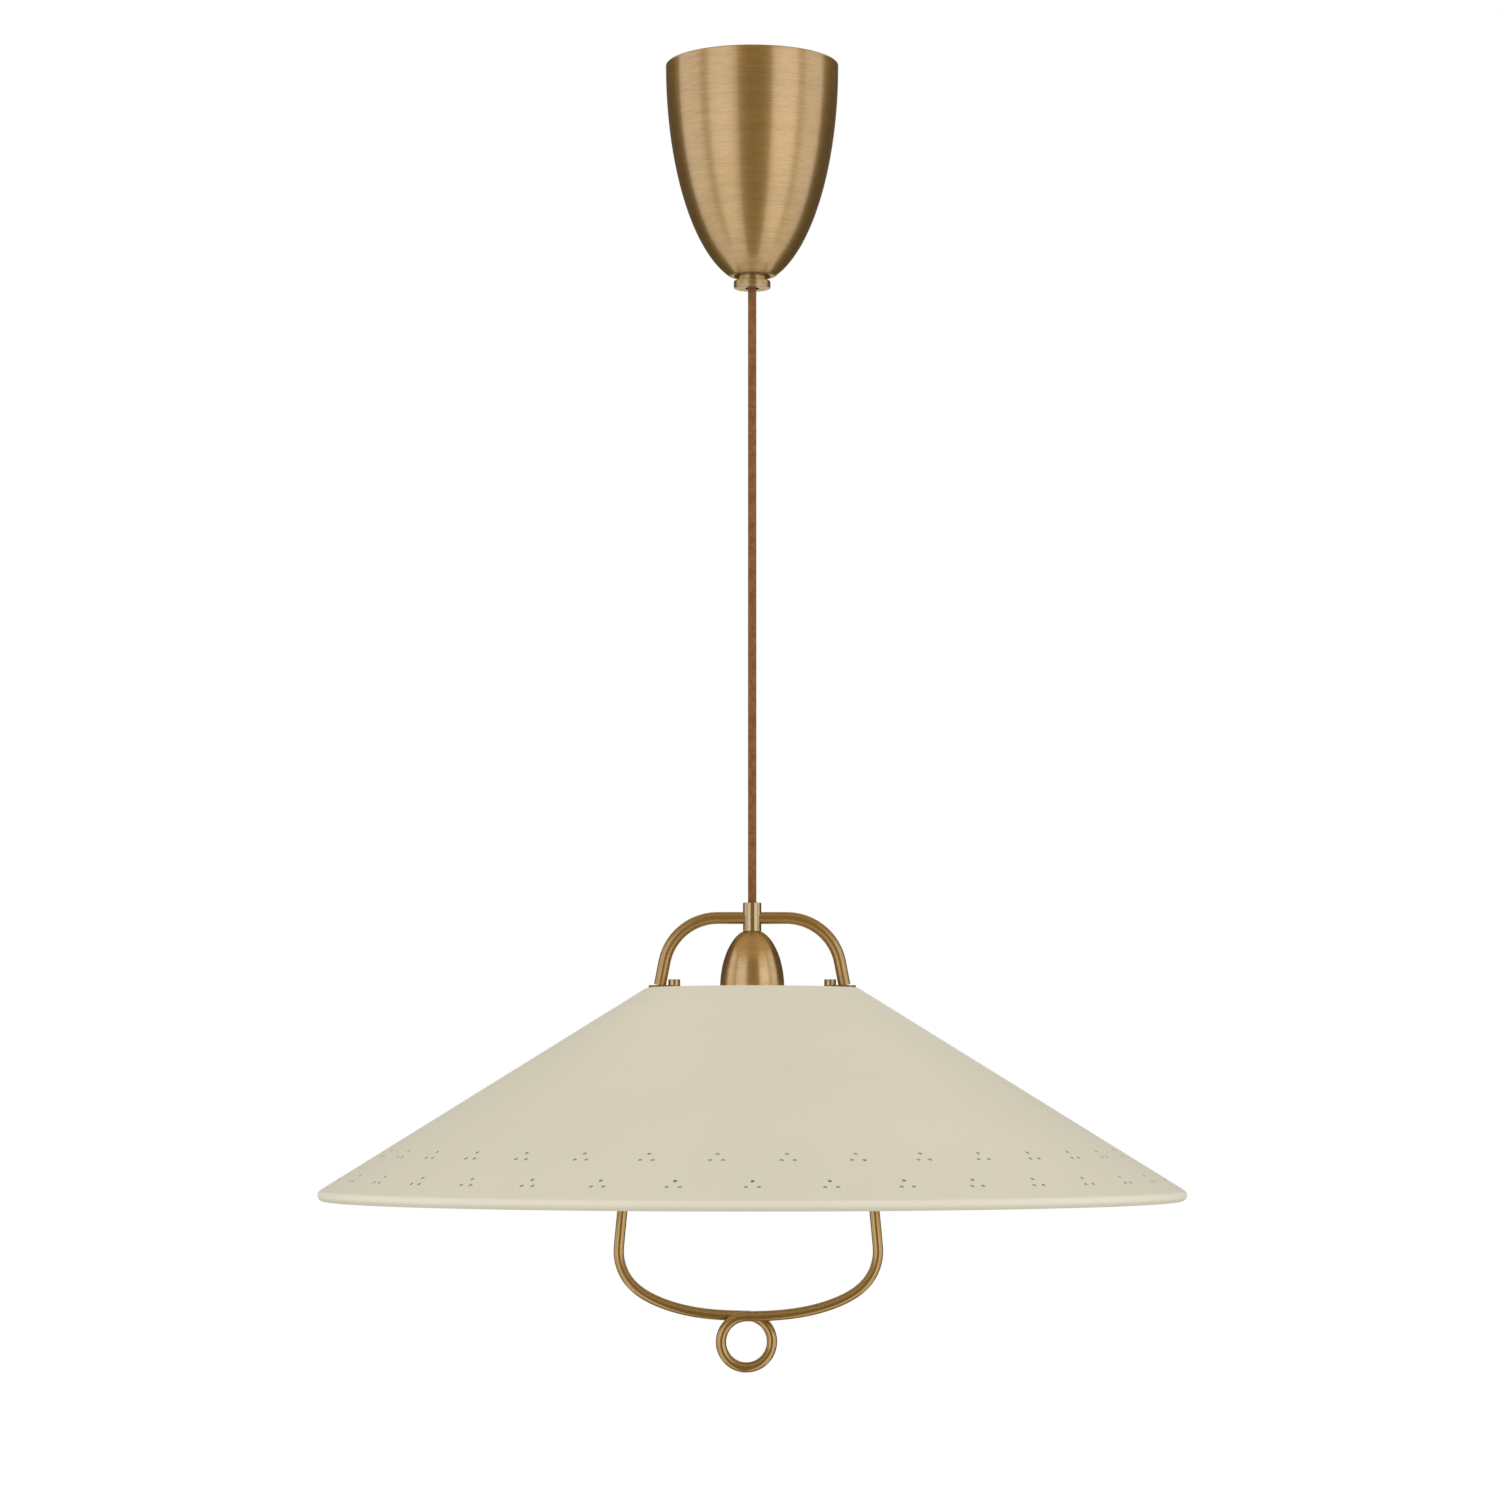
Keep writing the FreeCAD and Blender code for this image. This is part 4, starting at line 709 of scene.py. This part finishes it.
# -------- feet and screws
# Stamped oval brass plates brazed to the ends of the arch above the shade and of the handle below it,
# held together through the shade by slotted cheese-head screws and hexagon nuts.
PLATE_LENGTH = 0.0225
PLATE_WIDTH = 0.0115
PLATE_THICK = 0.002
PLATE_OUTER_X = 0.0733
PLATE_EASE = 0.00035
SCREW_X = 0.0552
SCREW_HEAD_R = 0.0042
SCREW_HEAD_HEIGHT = 0.0041
SCREW_SLOT_WIDTH = 0.0011
SCREW_SLOT_DEPTH = 0.0018
SCREW_SHANK_R = 0.002
SCREW_EASE = 0.00022
SCREW_TURNS = ((-1, 78.0), (1, 104.0))
ROUND_SIDES, SHANK_SIDES = 48, 32
FACING_UP, CREASE_ANGLE = 0.9, 1.0
MARK_FINENESS, PATCH_FINENESS = 3000.0, 220.0


def plate_bmesh(side, z_low):
    """An oval plate with eased edges: a circle pulled out to length and given its thickness."""
    bm = bmesh.new()
    bmesh.ops.create_circle(bm, segments=ROUND_SIDES, radius=PLATE_WIDTH / 2, cap_ends=True)
    pull = (PLATE_LENGTH - PLATE_WIDTH) / 2
    for vert in bm.verts:
        vert.co.x += copysign(pull, vert.co.x) if abs(vert.co.x) > 1e-7 else 0.0
    grown = bmesh.ops.extrude_face_region(bm, geom=bm.faces[:])["geom"]
    bmesh.ops.translate(bm, verts=only(grown, BMVert), vec=(0, 0, PLATE_THICK))
    bmesh.ops.recalc_face_normals(bm, faces=bm.faces)
    rims = [edge for edge in bm.edges if abs(edge.verts[0].co.z - edge.verts[1].co.z) < 1e-7
            and edge.calc_face_angle(0) > CREASE_ANGLE]
    bmesh.ops.bevel(bm, geom=rims, offset=PLATE_EASE, segments=3, profile=0.5, affect="EDGES", material=-1)
    centre = side * (PLATE_OUTER_X - PLATE_LENGTH / 2)
    bmesh.ops.translate(bm, verts=bm.verts, vec=(centre, 0, z_low))
    return bm


def turn_parts(bm, verts, angle):
    bmesh.ops.rotate(bm, verts=verts, cent=(0, 0, 0), matrix=Matrix.Rotation(radians(angle), 3, "Z"))


def add_cylinder(bm, radius, low_z, high_z, sides):
    bmesh.ops.create_cone(bm, cap_ends=True, segments=sides, radius1=radius, radius2=radius,
                          depth=high_z - low_z, matrix=Matrix.Translation((0, 0, (low_z + high_z) / 2)))


def screw_bmesh(side, turn, z_head, z_end):
    """A cheese head with an open slot, stopped at its own turn: two lands on a disc, and a shank below."""
    bm = bmesh.new()
    web = SCREW_HEAD_HEIGHT - SCREW_SLOT_DEPTH
    add_cylinder(bm, SCREW_HEAD_R, 0.0, web, ROUND_SIDES)
    for sign in (-1, 1):
        top = [face for face in bm.faces if face.normal.z > FACING_UP]
        bounds = dict.fromkeys(part for face in top for part in (*face.edges, *face.verts))
        bmesh.ops.bisect_plane(bm, geom=[*bounds, *top], plane_co=(sign * SCREW_SLOT_WIDTH / 2, 0, 0),
                               plane_no=(1, 0, 0))
    bm.normal_update()
    lands = [face for face in bm.faces
             if face.normal.z > FACING_UP and abs(face.calc_center_median().x) > SCREW_SLOT_WIDTH / 2]
    for land in lands:
        grown = bmesh.ops.extrude_face_region(bm, geom=[land])["geom"]
        bmesh.ops.translate(bm, verts=only(grown, BMVert), vec=(0, 0, SCREW_SLOT_DEPTH))
        bmesh.ops.delete(bm, geom=[land], context="FACES_ONLY")
    bmesh.ops.recalc_face_normals(bm, faces=bm.faces)
    sharp = [e for e in bm.edges if len(e.link_faces) == 2 and e.calc_face_angle(0) > CREASE_ANGLE
             and min(v.co.z for v in e.verts) > web - 1e-6]
    bmesh.ops.bevel(bm, geom=sharp, offset=SCREW_EASE, segments=2, profile=0.5, affect="EDGES", material=-1)
    add_cylinder(bm, SCREW_SHANK_R, z_end - z_head, 0.0, SHANK_SIDES)
    turn_parts(bm, bm.verts, turn)
    bmesh.ops.translate(bm, verts=bm.verts, vec=(side * SCREW_X, 0, z_head))
    return bm


def joined(parts):
    """Several bmeshes as one."""
    whole = bmesh.new()
    for part in parts:
        scrap = bpy.data.meshes.new("scrap")
        part.to_mesh(scrap)
        part.free()
        whole.from_mesh(scrap)
        bpy.data.meshes.remove(scrap)
    return whole


def grained(tree, shader, fine, slow, light, dark, roughness, metallic):
    """Colour and roughness that follow fine grain and slow patches."""
    tone = calc(tree, "ADD", spread(tree, fine, 0.35, 0.65, 0.0, 0.4),
                spread(tree, slow, 0.35, 0.65, 0.0, 0.6))
    varied = spread(tree, slow, 0.3, 0.7, roughness - 0.05, roughness + 0.08)
    fill_inputs(tree, shader, [("Base Color", blend_colours(tree, tone, light, dark)), ("Roughness", varied),
                               ("Metallic", metallic)])


def small_brass(name, light, dark, roughness):
    """Plain satin brass for stamped and machined small parts, with faint marks and darker wear."""
    material, tree, shader = new_material(name)
    place = object_place(tree)
    fine = noise(tree, place, MARK_FINENESS, 3.0, 0.6)
    grained(tree, shader, fine, noise(tree, place, PATCH_FINENESS), light, dark, roughness, metallic=1.0)
    fill_inputs(tree, shader, [("Coat Weight", 0.3), ("Coat Roughness", 0.25)])
    set_normal(tree, shader, fine, 0.08, 0.00008)
    return material


plate_brass = small_brass("plate_brass", (0.42, 0.26, 0.10, 1), (0.27, 0.155, 0.055, 1), 0.34)
screw_brass = small_brass("screw_brass", (0.64, 0.480, 0.270, 1), (0.38, 0.255, 0.120, 1), 0.22)
for name, node, low_z in (("arch_plates", "arch_feet", FOOT_TOP_Z - PLATE_THICK),
                          ("handle_foot_plates", "handle_plates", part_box("handle_plates")[0].z)):
    pair = joined([plate_bmesh(side, low_z) for side in (-1, 1)])
    finish_mesh(name, pair, plate_brass, node, "lamp")
screw_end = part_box("foot_screws")[0].z
heads = joined([screw_bmesh(side, turn, FOOT_TOP_Z, screw_end) for side, turn in SCREW_TURNS])
finish_mesh("cheese_head_screws", heads, screw_brass, "foot_screws", "lamp", sharp=30.0)

# -------- dome
# A small dome spun from sheet brass, with a nipple through its crown. It stands on the shade's top, closes
# the middle hole and hides the lampholder's cap.
DOME_R = 0.0228
DOME_HEIGHT = 0.042
DOME_WALL, DOME_CROWN = 0.0009, 0.0018
DOME_BORE_R = 0.00505
DOME_EDGE, DOME_FOOT = 0.0003, 0.0006
DOME_STEPS = 144


def dome_mesh():
    low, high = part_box("dome")
    under = high.z - DOME_CROWN
    profile = ellipse_points(DOME_R, DOME_HEIGHT, low.z, low.z + DOME_FOOT, high.z, 36)
    profile += [(DOME_BORE_R, high.z), (DOME_BORE_R, under)]
    profile += ellipse_points(DOME_R - DOME_WALL, DOME_HEIGHT - DOME_WALL, low.z, under, low.z, 24)[:-1]
    profile += [(DOME_R - DOME_WALL, low.z), (DOME_R - DOME_EDGE, low.z), (DOME_R, low.z + DOME_EDGE)]
    return turned_bmesh(profile, DOME_STEPS)


dome_brass = spun_brass("dome_brass", (0.690, 0.428, 0.144, 1), (0.460, 0.275, 0.082, 1), 0.36)
finish_mesh("brass_dome", dome_mesh(), dome_brass, "dome", "lamp")

# -------- shade
# One sheet of steel spun to a flat-topped cone, 610 mm across. Its edge is rolled in to a bead, two rows of
# small triangles of holes are punched round it, and it is sprayed satin cream inside and out.
SHADE_R = 0.305
SHADE_TOP_R = 0.075
SHADE_TOP_Z = -0.664
SHADE_CORNER_R = 0.0045
SHADE_HEIGHT = 0.1493
SHADE_WALL = 0.001
SHADE_HOLE_R = 0.0206
TOP_RINGS, SIDE_RINGS = (0.035, 0.055), (0.105, 0.145, 0.185, 0.225)
PEEL_FINENESS, DRIFT_FINENESS, SPECK_FINENESS = 420.0, 7.0, 2400.0
BEAD_R = 0.0041
BEAD_END_DEG = -212.0
# Heights of the band round the rolled edge that gets a painted highlight.
BEAD_FACE_Z, BEAD_FACE_FADE = -0.8072, 0.0016
GROUPS = 36
SECTOR_DEG = 360.0 / GROUPS
PUNCH_R = 0.00145
PUNCH_SIDE = 0.0084
ROW_INSETS = (0.0141, 0.0410)
ROW_TURNS = (2.5, 7.5)
CONE_SLOPE = 0.60
PUNCHED_R, PUNCHED_REACH, SQUARE_LIMIT = 0.275, 0.020, 0.6
CREAM, DEEPER_CREAM = (0.626, 0.586, 0.452, 1), (0.602, 0.562, 0.428, 1)
# The second colour is a painted highlight along the rolled edge.
CREAM_SPECK, BEAD_HIGHLIGHT = (0.560, 0.515, 0.390, 1), (0.695, 0.655, 0.525, 1)
# Painted shade on the walls of the holes.
HOLE_WALL_SHADE = (0.360, 0.330, 0.260, 1)


def hole_wall_shade_mask(tree, place):
    """The share of painted shade on the walls of the holes: 1 where the face stands square to the cone near
    the rows, and 0 elsewhere.
    """
    flat = vector_calc(tree, "MULTIPLY", place, (1, 1, 0))
    out = vector_calc(tree, "NORMALIZE", flat)
    leaning = vector_calc(tree, "MULTIPLY", out, (CONE_SLOPE, CONE_SLOPE, 0))
    square = vector_calc(tree, "ADD", leaning, (0, 0, 1))
    facing = add_node(tree, "NewGeometry").outputs["True Normal"]
    along = vector_calc(tree, "DOT_PRODUCT", square, facing)
    wall = calc(tree, "LESS_THAN", calc(tree, "ABSOLUTE", along), SQUARE_LIMIT)
    from_row = calc(tree, "ABSOLUTE", calc(tree, "SUBTRACT", vector_calc(tree, "LENGTH", flat), PUNCHED_R))
    return calc(tree, "MULTIPLY", wall, calc(tree, "LESS_THAN", from_row, PUNCHED_REACH))


def cream_paint():
    """Satin cream enamel: slight orange peel, a slow drift of tone, fine specks, a painted highlight along
    the rolled edge, and painted shade on the walls of the holes.
    """
    material, tree, shader = new_material("cream_enamel")
    place = object_place(tree)
    peel = noise(tree, place, PEEL_FINENESS, 3.0, 0.45)
    slow = noise(tree, place, DRIFT_FINENESS)
    specks = noise(tree, place, SPECK_FINENESS, 2.0, 0.6)
    level = add_node(tree, "SeparateXYZ", [(0, place)]).outputs[2]
    # The band round the rolled edge that gets a painted highlight.
    bead_low_z = BEAD_FACE_Z - BEAD_R
    face = calc(tree, "MULTIPLY", spread(tree, level, BEAD_FACE_Z + BEAD_FACE_FADE, BEAD_FACE_Z, 0.0, 1.0),
                spread(tree, level, bead_low_z, bead_low_z + BEAD_FACE_FADE, 0.0, 1.0))
    colour = blend_colours(tree, spread(tree, slow, 0.3, 0.7, 0.0, 1.0), CREAM, DEEPER_CREAM)
    # Specks, then the painted highlight on the rolled edge and painted shade on the walls of the holes.
    for share, laid in ((spread(tree, specks, 0.62, 0.80, 0.0, 0.35), CREAM_SPECK), (face, BEAD_HIGHLIGHT),
                        (hole_wall_shade_mask(tree, place), HOLE_WALL_SHADE)):
        colour = blend_colours(tree, share, colour, laid)
    fill_inputs(tree, shader, [
        ("Base Color", colour), ("Roughness", spread(tree, slow, 0.3, 0.7, 0.40, 0.50)),
        ("Specular IOR Level", 0.22), ("Coat Weight", 0.06), ("Coat Roughness", 0.28), ("Sheen Weight", 0.20),
        ("Sheen Roughness", 0.4)])
    set_normal(tree, shader, peel, 0.05, 0.0002)
    return material


def shade_profile():
    """The sheet's outer line from the middle hole to the end of the rolled edge, and the rows' radii."""
    bead_x, bead_z = SHADE_R - BEAD_R, SHADE_TOP_Z - SHADE_HEIGHT + BEAD_R
    dx, dz = bead_x - SHADE_TOP_R, SHADE_TOP_Z - bead_z
    lean = atan2(dz, dx) - asin(BEAD_R / hypot(dx, dz))
    back = SHADE_CORNER_R * tan(lean / 2)
    corner = arc_points(SHADE_TOP_R - back, SHADE_TOP_Z - SHADE_CORNER_R, SHADE_CORNER_R,
                        90.0, 90.0 - degrees(lean), 7)
    rows = []
    for inset in reversed(ROW_INSETS):
        base_r = SHADE_R - inset
        rows += [base_r - PUNCH_SIDE * sqrt(0.75) * cos(lean), base_r]
    side = [(r, SHADE_TOP_Z - (r - SHADE_TOP_R) * tan(lean)) for r in (*SIDE_RINGS, *rows)]
    top = [(r, SHADE_TOP_Z) for r in (SHADE_HOLE_R, *TOP_RINGS)]
    roll = arc_points(bead_x, bead_z, BEAD_R, 90.0 - degrees(lean), BEAD_END_DEG, 30)
    return top + corner + side + roll, rows


def shade_mesh():
    """One sector of the sheet with its two triangles of holes, copied round and given its thickness."""
    profile, rows = shade_profile()
    columns = [0.0, SECTOR_DEG / 2, SECTOR_DEG]
    punches = []
    for inset, middle, apex_r in zip(ROW_INSETS, ROW_TURNS, (rows[2], rows[0])):
        base_r = SHADE_R - inset
        half = degrees(PUNCH_SIDE / 2 / base_r)
        columns += [middle - half, middle, middle + half]
        punches += [(base_r, middle - half), (base_r, middle + half), (apex_r, middle)]
    columns.sort()
    bm = bmesh.new()
    verts = [bm.verts.new((r, 0.0, z)) for r, z in profile]
    edges = [bm.edges.new(pair) for pair in zip(verts, verts[1:])]
    for first, second in zip(columns, columns[1:]):
        grown = bmesh.ops.extrude_edge_only(bm, edges=edges)["geom"]
        edges = only(grown, BMEdge)
        turn_parts(bm, only(grown, BMVert), second - first)
    centres = []
    for radius, turn in punches:
        spot = Vector((radius * cos(radians(turn)), radius * sin(radians(turn))))
        centres.append(min(bm.verts, key=lambda v: (v.co.xy - spot).length))
    middles = [vert.co.copy() for vert in centres]
    punched = bmesh.ops.bevel(bm, geom=centres, offset=PUNCH_R, segments=4, profile=0.5, affect="VERTICES",
                              material=-1)
    bmesh.ops.delete(bm, geom=punched["faces"], context="FACES")
    for vert in punched["verts"]:
        if vert.is_valid:
            middle = min(middles, key=lambda spot: (vert.co - spot).length)
            vert.co = middle + (vert.co - middle).normalized() * PUNCH_R
    sector = bm.verts[:] + bm.edges[:] + bm.faces[:]
    turn_parts(bm, bm.verts, -90.0 - ROW_TURNS[0])
    bmesh.ops.spin(bm, geom=sector, cent=(0, 0, 0), axis=(0, 0, 1), angle=radians(360.0 - SECTOR_DEG),
                   steps=GROUPS - 1, use_duplicate=True)
    bmesh.ops.remove_doubles(bm, verts=bm.verts, dist=2e-6)
    bmesh.ops.recalc_face_normals(bm, faces=bm.faces)
    outward = [face for face in bm.faces if face.calc_center_median().z > SHADE_TOP_Z - 0.0001]
    if outward[0].normal.z < 0:
        bmesh.ops.reverse_faces(bm, faces=bm.faces)
    bmesh.ops.solidify(bm, geom=bm.faces[:], thickness=SHADE_WALL)
    return bm


enamel = cream_paint()
finish_mesh("cream_shade", shade_mesh(), enamel, "shade", "lamp", sharp=40.0)

# -------- pull handle
# One length of 7.3 mm brass rod: two legs hang from plates under the shade's top, run round the corners
# into a shallow bow, and the rod turns once on itself in the middle to make the pigtail pull.
HANDLE_R = 0.00365
HANDLE_SHIFT = -0.0027
HANDLE_FOOT_X = 0.0675
HANDLE_TOP_Z = -0.667
CORNER_R = 0.034
CORNER_X = 0.0573
CORNER_Z = SHADE_TOP_Z - 0.1850
LEG_END_LEAN = radians(5.0)
BOW_LOW_Z = SHADE_TOP_Z - 0.2304
SHOULDER_LEAN = radians(23.5)
SHOULDER_STEP = 0.0074
SHOULDER_RISE = 0.0106
LOOP_R = 0.01795
LOOP_SHIFT = -0.0013
LOOP_GAP = 0.0006


def leg_stations(side):
    """One leg from its foot round the corner to the bow, each place with its heading."""
    centre = in_plane(HANDLE_SHIFT + side * CORNER_X, CORNER_Z)
    foot = in_plane(side * HANDLE_FOOT_X, HANDLE_TOP_Z + HANDLE_R)
    out = in_plane(side * cos(LEG_END_LEAN), sin(LEG_END_LEAN))
    leg_end = centre + out * CORNER_R
    leg_dir = in_plane(side * sin(LEG_END_LEAN), -cos(LEG_END_LEAN))
    shoulder = in_plane(centre.x + side * SHOULDER_STEP, BOW_LOW_Z + SHOULDER_RISE)
    bow_dir = in_plane(-side * cos(SHOULDER_LEAN), -sin(SHOULDER_LEAN))
    chord = foot - leg_end
    leg_centre = leg_end + out * (chord.length_squared / (2 * chord.dot(out)))
    foot_out = (foot - leg_centre).normalized()
    foot_dir = in_plane(side * foot_out.z, -side * foot_out.x)
    slant = in_plane(side, -1.0).normalized()
    return [(foot, foot_dir), (leg_end, leg_dir),
            (centre + slant * CORNER_R, in_plane(-side, -1).normalized()), (shoulder, bow_dir)]


def loop_stations():
    """Quarter turns of the pigtail: in at the front, down the left, up the right and out at the back."""
    offset = HANDLE_R + LOOP_GAP / 2
    stations = []
    for quarter in range(5):
        turn = quarter * pi / 2
        place = Vector((HANDLE_SHIFT + LOOP_SHIFT - LOOP_R * sin(turn), -offset * cos(turn / 2),
                        BOW_LOW_Z - LOOP_R + LOOP_R * cos(turn)))
        heading = Vector((-LOOP_R * cos(turn), offset * sin(turn / 2) / 2, -LOOP_R * sin(turn)))
        stations.append((place, heading.normalized()))
    return stations


def handle_mesh():
    back = [(place, -heading) for place, heading in reversed(leg_stations(-1))]
    line = smooth_path(leg_stations(1) + loop_stations() + back)
    bm = rod_bmesh(line, HANDLE_R)
    bmesh.ops.bisect_plane(bm, geom=bm.verts[:] + bm.edges[:] + bm.faces[:],
                           plane_co=(0, 0, HANDLE_TOP_Z + ROD_SUNK), plane_no=(0, 0, 1), clear_outer=True)
    return bm


handle_brass = rod_brass("handle_bar_brass", (0.490, 0.295, 0.082, 1), (0.440, 0.258, 0.068, 1), 0.21)
finish_mesh("pull_bow", handle_mesh(), handle_brass, "pull_handle", "lamp")

# -------- lampholder
# A black moulded lampholder hangs under the dome on a threaded nipple. Its body is fluted where the hand
# turns it and plain round the mouth, and inside is a rolled screw shell for a large-cap bulb.
FLUTES = 40
FLUTE_DEPTH = 0.0005
FLUTED_LENGTH, FLUTE_RINGS = 0.022, 12
BODY_WALL = 0.002
BODY_EDGE, BODY_EASE = 0.0008, 0.0004
BODY_STEPS = 240
SHELL_WALL = 0.0005
SHELL_PITCH = 0.00363
SHELL_DEPTH = 0.0006
SHELL_RINGS, SHELL_STEPS = 72, 96


def holder_body_mesh():
    """A tube with an eased mouth; its outside is pressed in to flutes in the upper part."""
    low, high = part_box("lampholder_body")
    radius, inner_r = high.x, high.x - BODY_WALL
    profile = [(radius, high.z - FLUTED_LENGTH * i / FLUTE_RINGS) for i in range(FLUTE_RINGS + 1)]
    profile += arc_points(radius - BODY_EDGE, low.z + BODY_EDGE, BODY_EDGE, 0.0, -90.0, 4)
    profile += [(inner_r + BODY_EASE, low.z), (inner_r, low.z + BODY_EASE), (inner_r, high.z)]
    bm = turned_bmesh(profile, BODY_STEPS)
    for vert in bm.verts:
        reach = vert.co.xy.length
        if reach > radius - BODY_EDGE / 2 and vert.co.z > high.z - FLUTED_LENGTH + BODY_EDGE:
            press = FLUTE_DEPTH * (0.5 + 0.5 * cos(FLUTES * atan2(vert.co.y, vert.co.x)))
            vert.co.xy *= (reach - press) / reach
    return bm


def screw_shell_mesh():
    """A thin tube rolled to a round-bottomed thread that runs out at both ends."""
    low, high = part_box("screw_shell")
    levels = [low.z + (high.z - low.z) * i / SHELL_RINGS for i in range(SHELL_RINGS + 1)]
    profile = [(high.x, z) for z in levels] + [(high.x - SHELL_WALL, z) for z in reversed(levels)]
    bm = turned_bmesh(profile, SHELL_STEPS)
    for vert in bm.verts:
        reach = vert.co.xy.length
        wave = 0.5 + 0.5 * cos(2 * pi * vert.co.z / SHELL_PITCH - atan2(vert.co.y, vert.co.x))
        fade = min(1.0, (vert.co.z - low.z) / SHELL_PITCH, (high.z - vert.co.z) / SHELL_PITCH)
        vert.co.xy *= (reach - SHELL_DEPTH * wave * fade) / reach
    return bm


def plain_finish(name, light, dark, roughness, metallic=0.0, grain=900.0, bump=0.05):
    """A finish with fine grain and slow variation."""
    material, tree, shader = new_material(name)
    place = object_place(tree)
    fine = noise(tree, place, grain, 3.0, 0.55)
    grained(tree, shader, fine, noise(tree, place, grain / 20.0, 2.0), light, dark, roughness, metallic)
    set_normal(tree, shader, fine, bump, 0.0001)
    return material


bakelite = plain_finish("black_bakelite", (0.020, 0.015, 0.012, 1), (0.012, 0.009, 0.008, 1), 0.22,
                        grain=500.0, bump=0.03)
copper = plain_finish("worn_copper", (0.72, 0.36, 0.20, 1), (0.52, 0.24, 0.13, 1), 0.30,
                      metallic=1.0, grain=1200.0)
finish_mesh("fluted_holder", holder_body_mesh(), bakelite, "lampholder_body", "lamp", sharp=50.0)
finish_mesh("rolled_screw_shell", screw_shell_mesh(), copper, "screw_shell", "lamp", sharp=60.0)

# -------- the rest of the frame's own parts
# The reel, its frame and wiring inside the cup, the nuts, and the rest of the lampholder keep their solids'
# shapes. The bush in the cord's mouth is moulded like the reel.
FINISHES = {
    "zinc_steel": plain_finish("bright_zinc", (0.62, 0.62, 0.60, 1), (0.48, 0.49, 0.50, 1), 0.32,
                               metallic=1.0, grain=600.0),
    "spring_steel": plain_finish("blued_steel", (0.14, 0.16, 0.22, 1), (0.07, 0.08, 0.11, 1), 0.30,
                                 metallic=1.0, grain=700.0),
    "reel_plastic": plain_finish("moulded_black", (0.030, 0.030, 0.031, 1), (0.020, 0.020, 0.021, 1), 0.42),
    "terminal_plastic": plain_finish("moulded_white", (0.66, 0.65, 0.60, 1), (0.60, 0.59, 0.54, 1), 0.38),
    "slip_board": plain_finish("phenolic_board", (0.16, 0.075, 0.030, 1), (0.11, 0.050, 0.020, 1), 0.5,
                               grain=1500.0, bump=0.12),
    "nylon": plain_finish("natural_nylon", (0.72, 0.69, 0.58, 1), (0.66, 0.63, 0.52, 1), 0.34),
    "porcelain": plain_finish("glazed_porcelain", (0.76, 0.75, 0.70, 1), (0.70, 0.69, 0.63, 1), 0.14,
                              grain=300.0, bump=0.02),
    "copper": copper, "bakelite": bakelite, "brass_rod": screw_brass, "antique_brass": dome_brass,
    "cord_braid": braid, "cream_paint": enamel,
}
for part in frame["record"]["subparts"]:
    node = frame["nodes"][part["node"]]
    node.data.materials.clear()
    node.data.materials.append(FINISHES[part["material_slot"]])
frame["nodes"]["outlet_bush"].data.materials[0] = FINISHES["reel_plastic"]
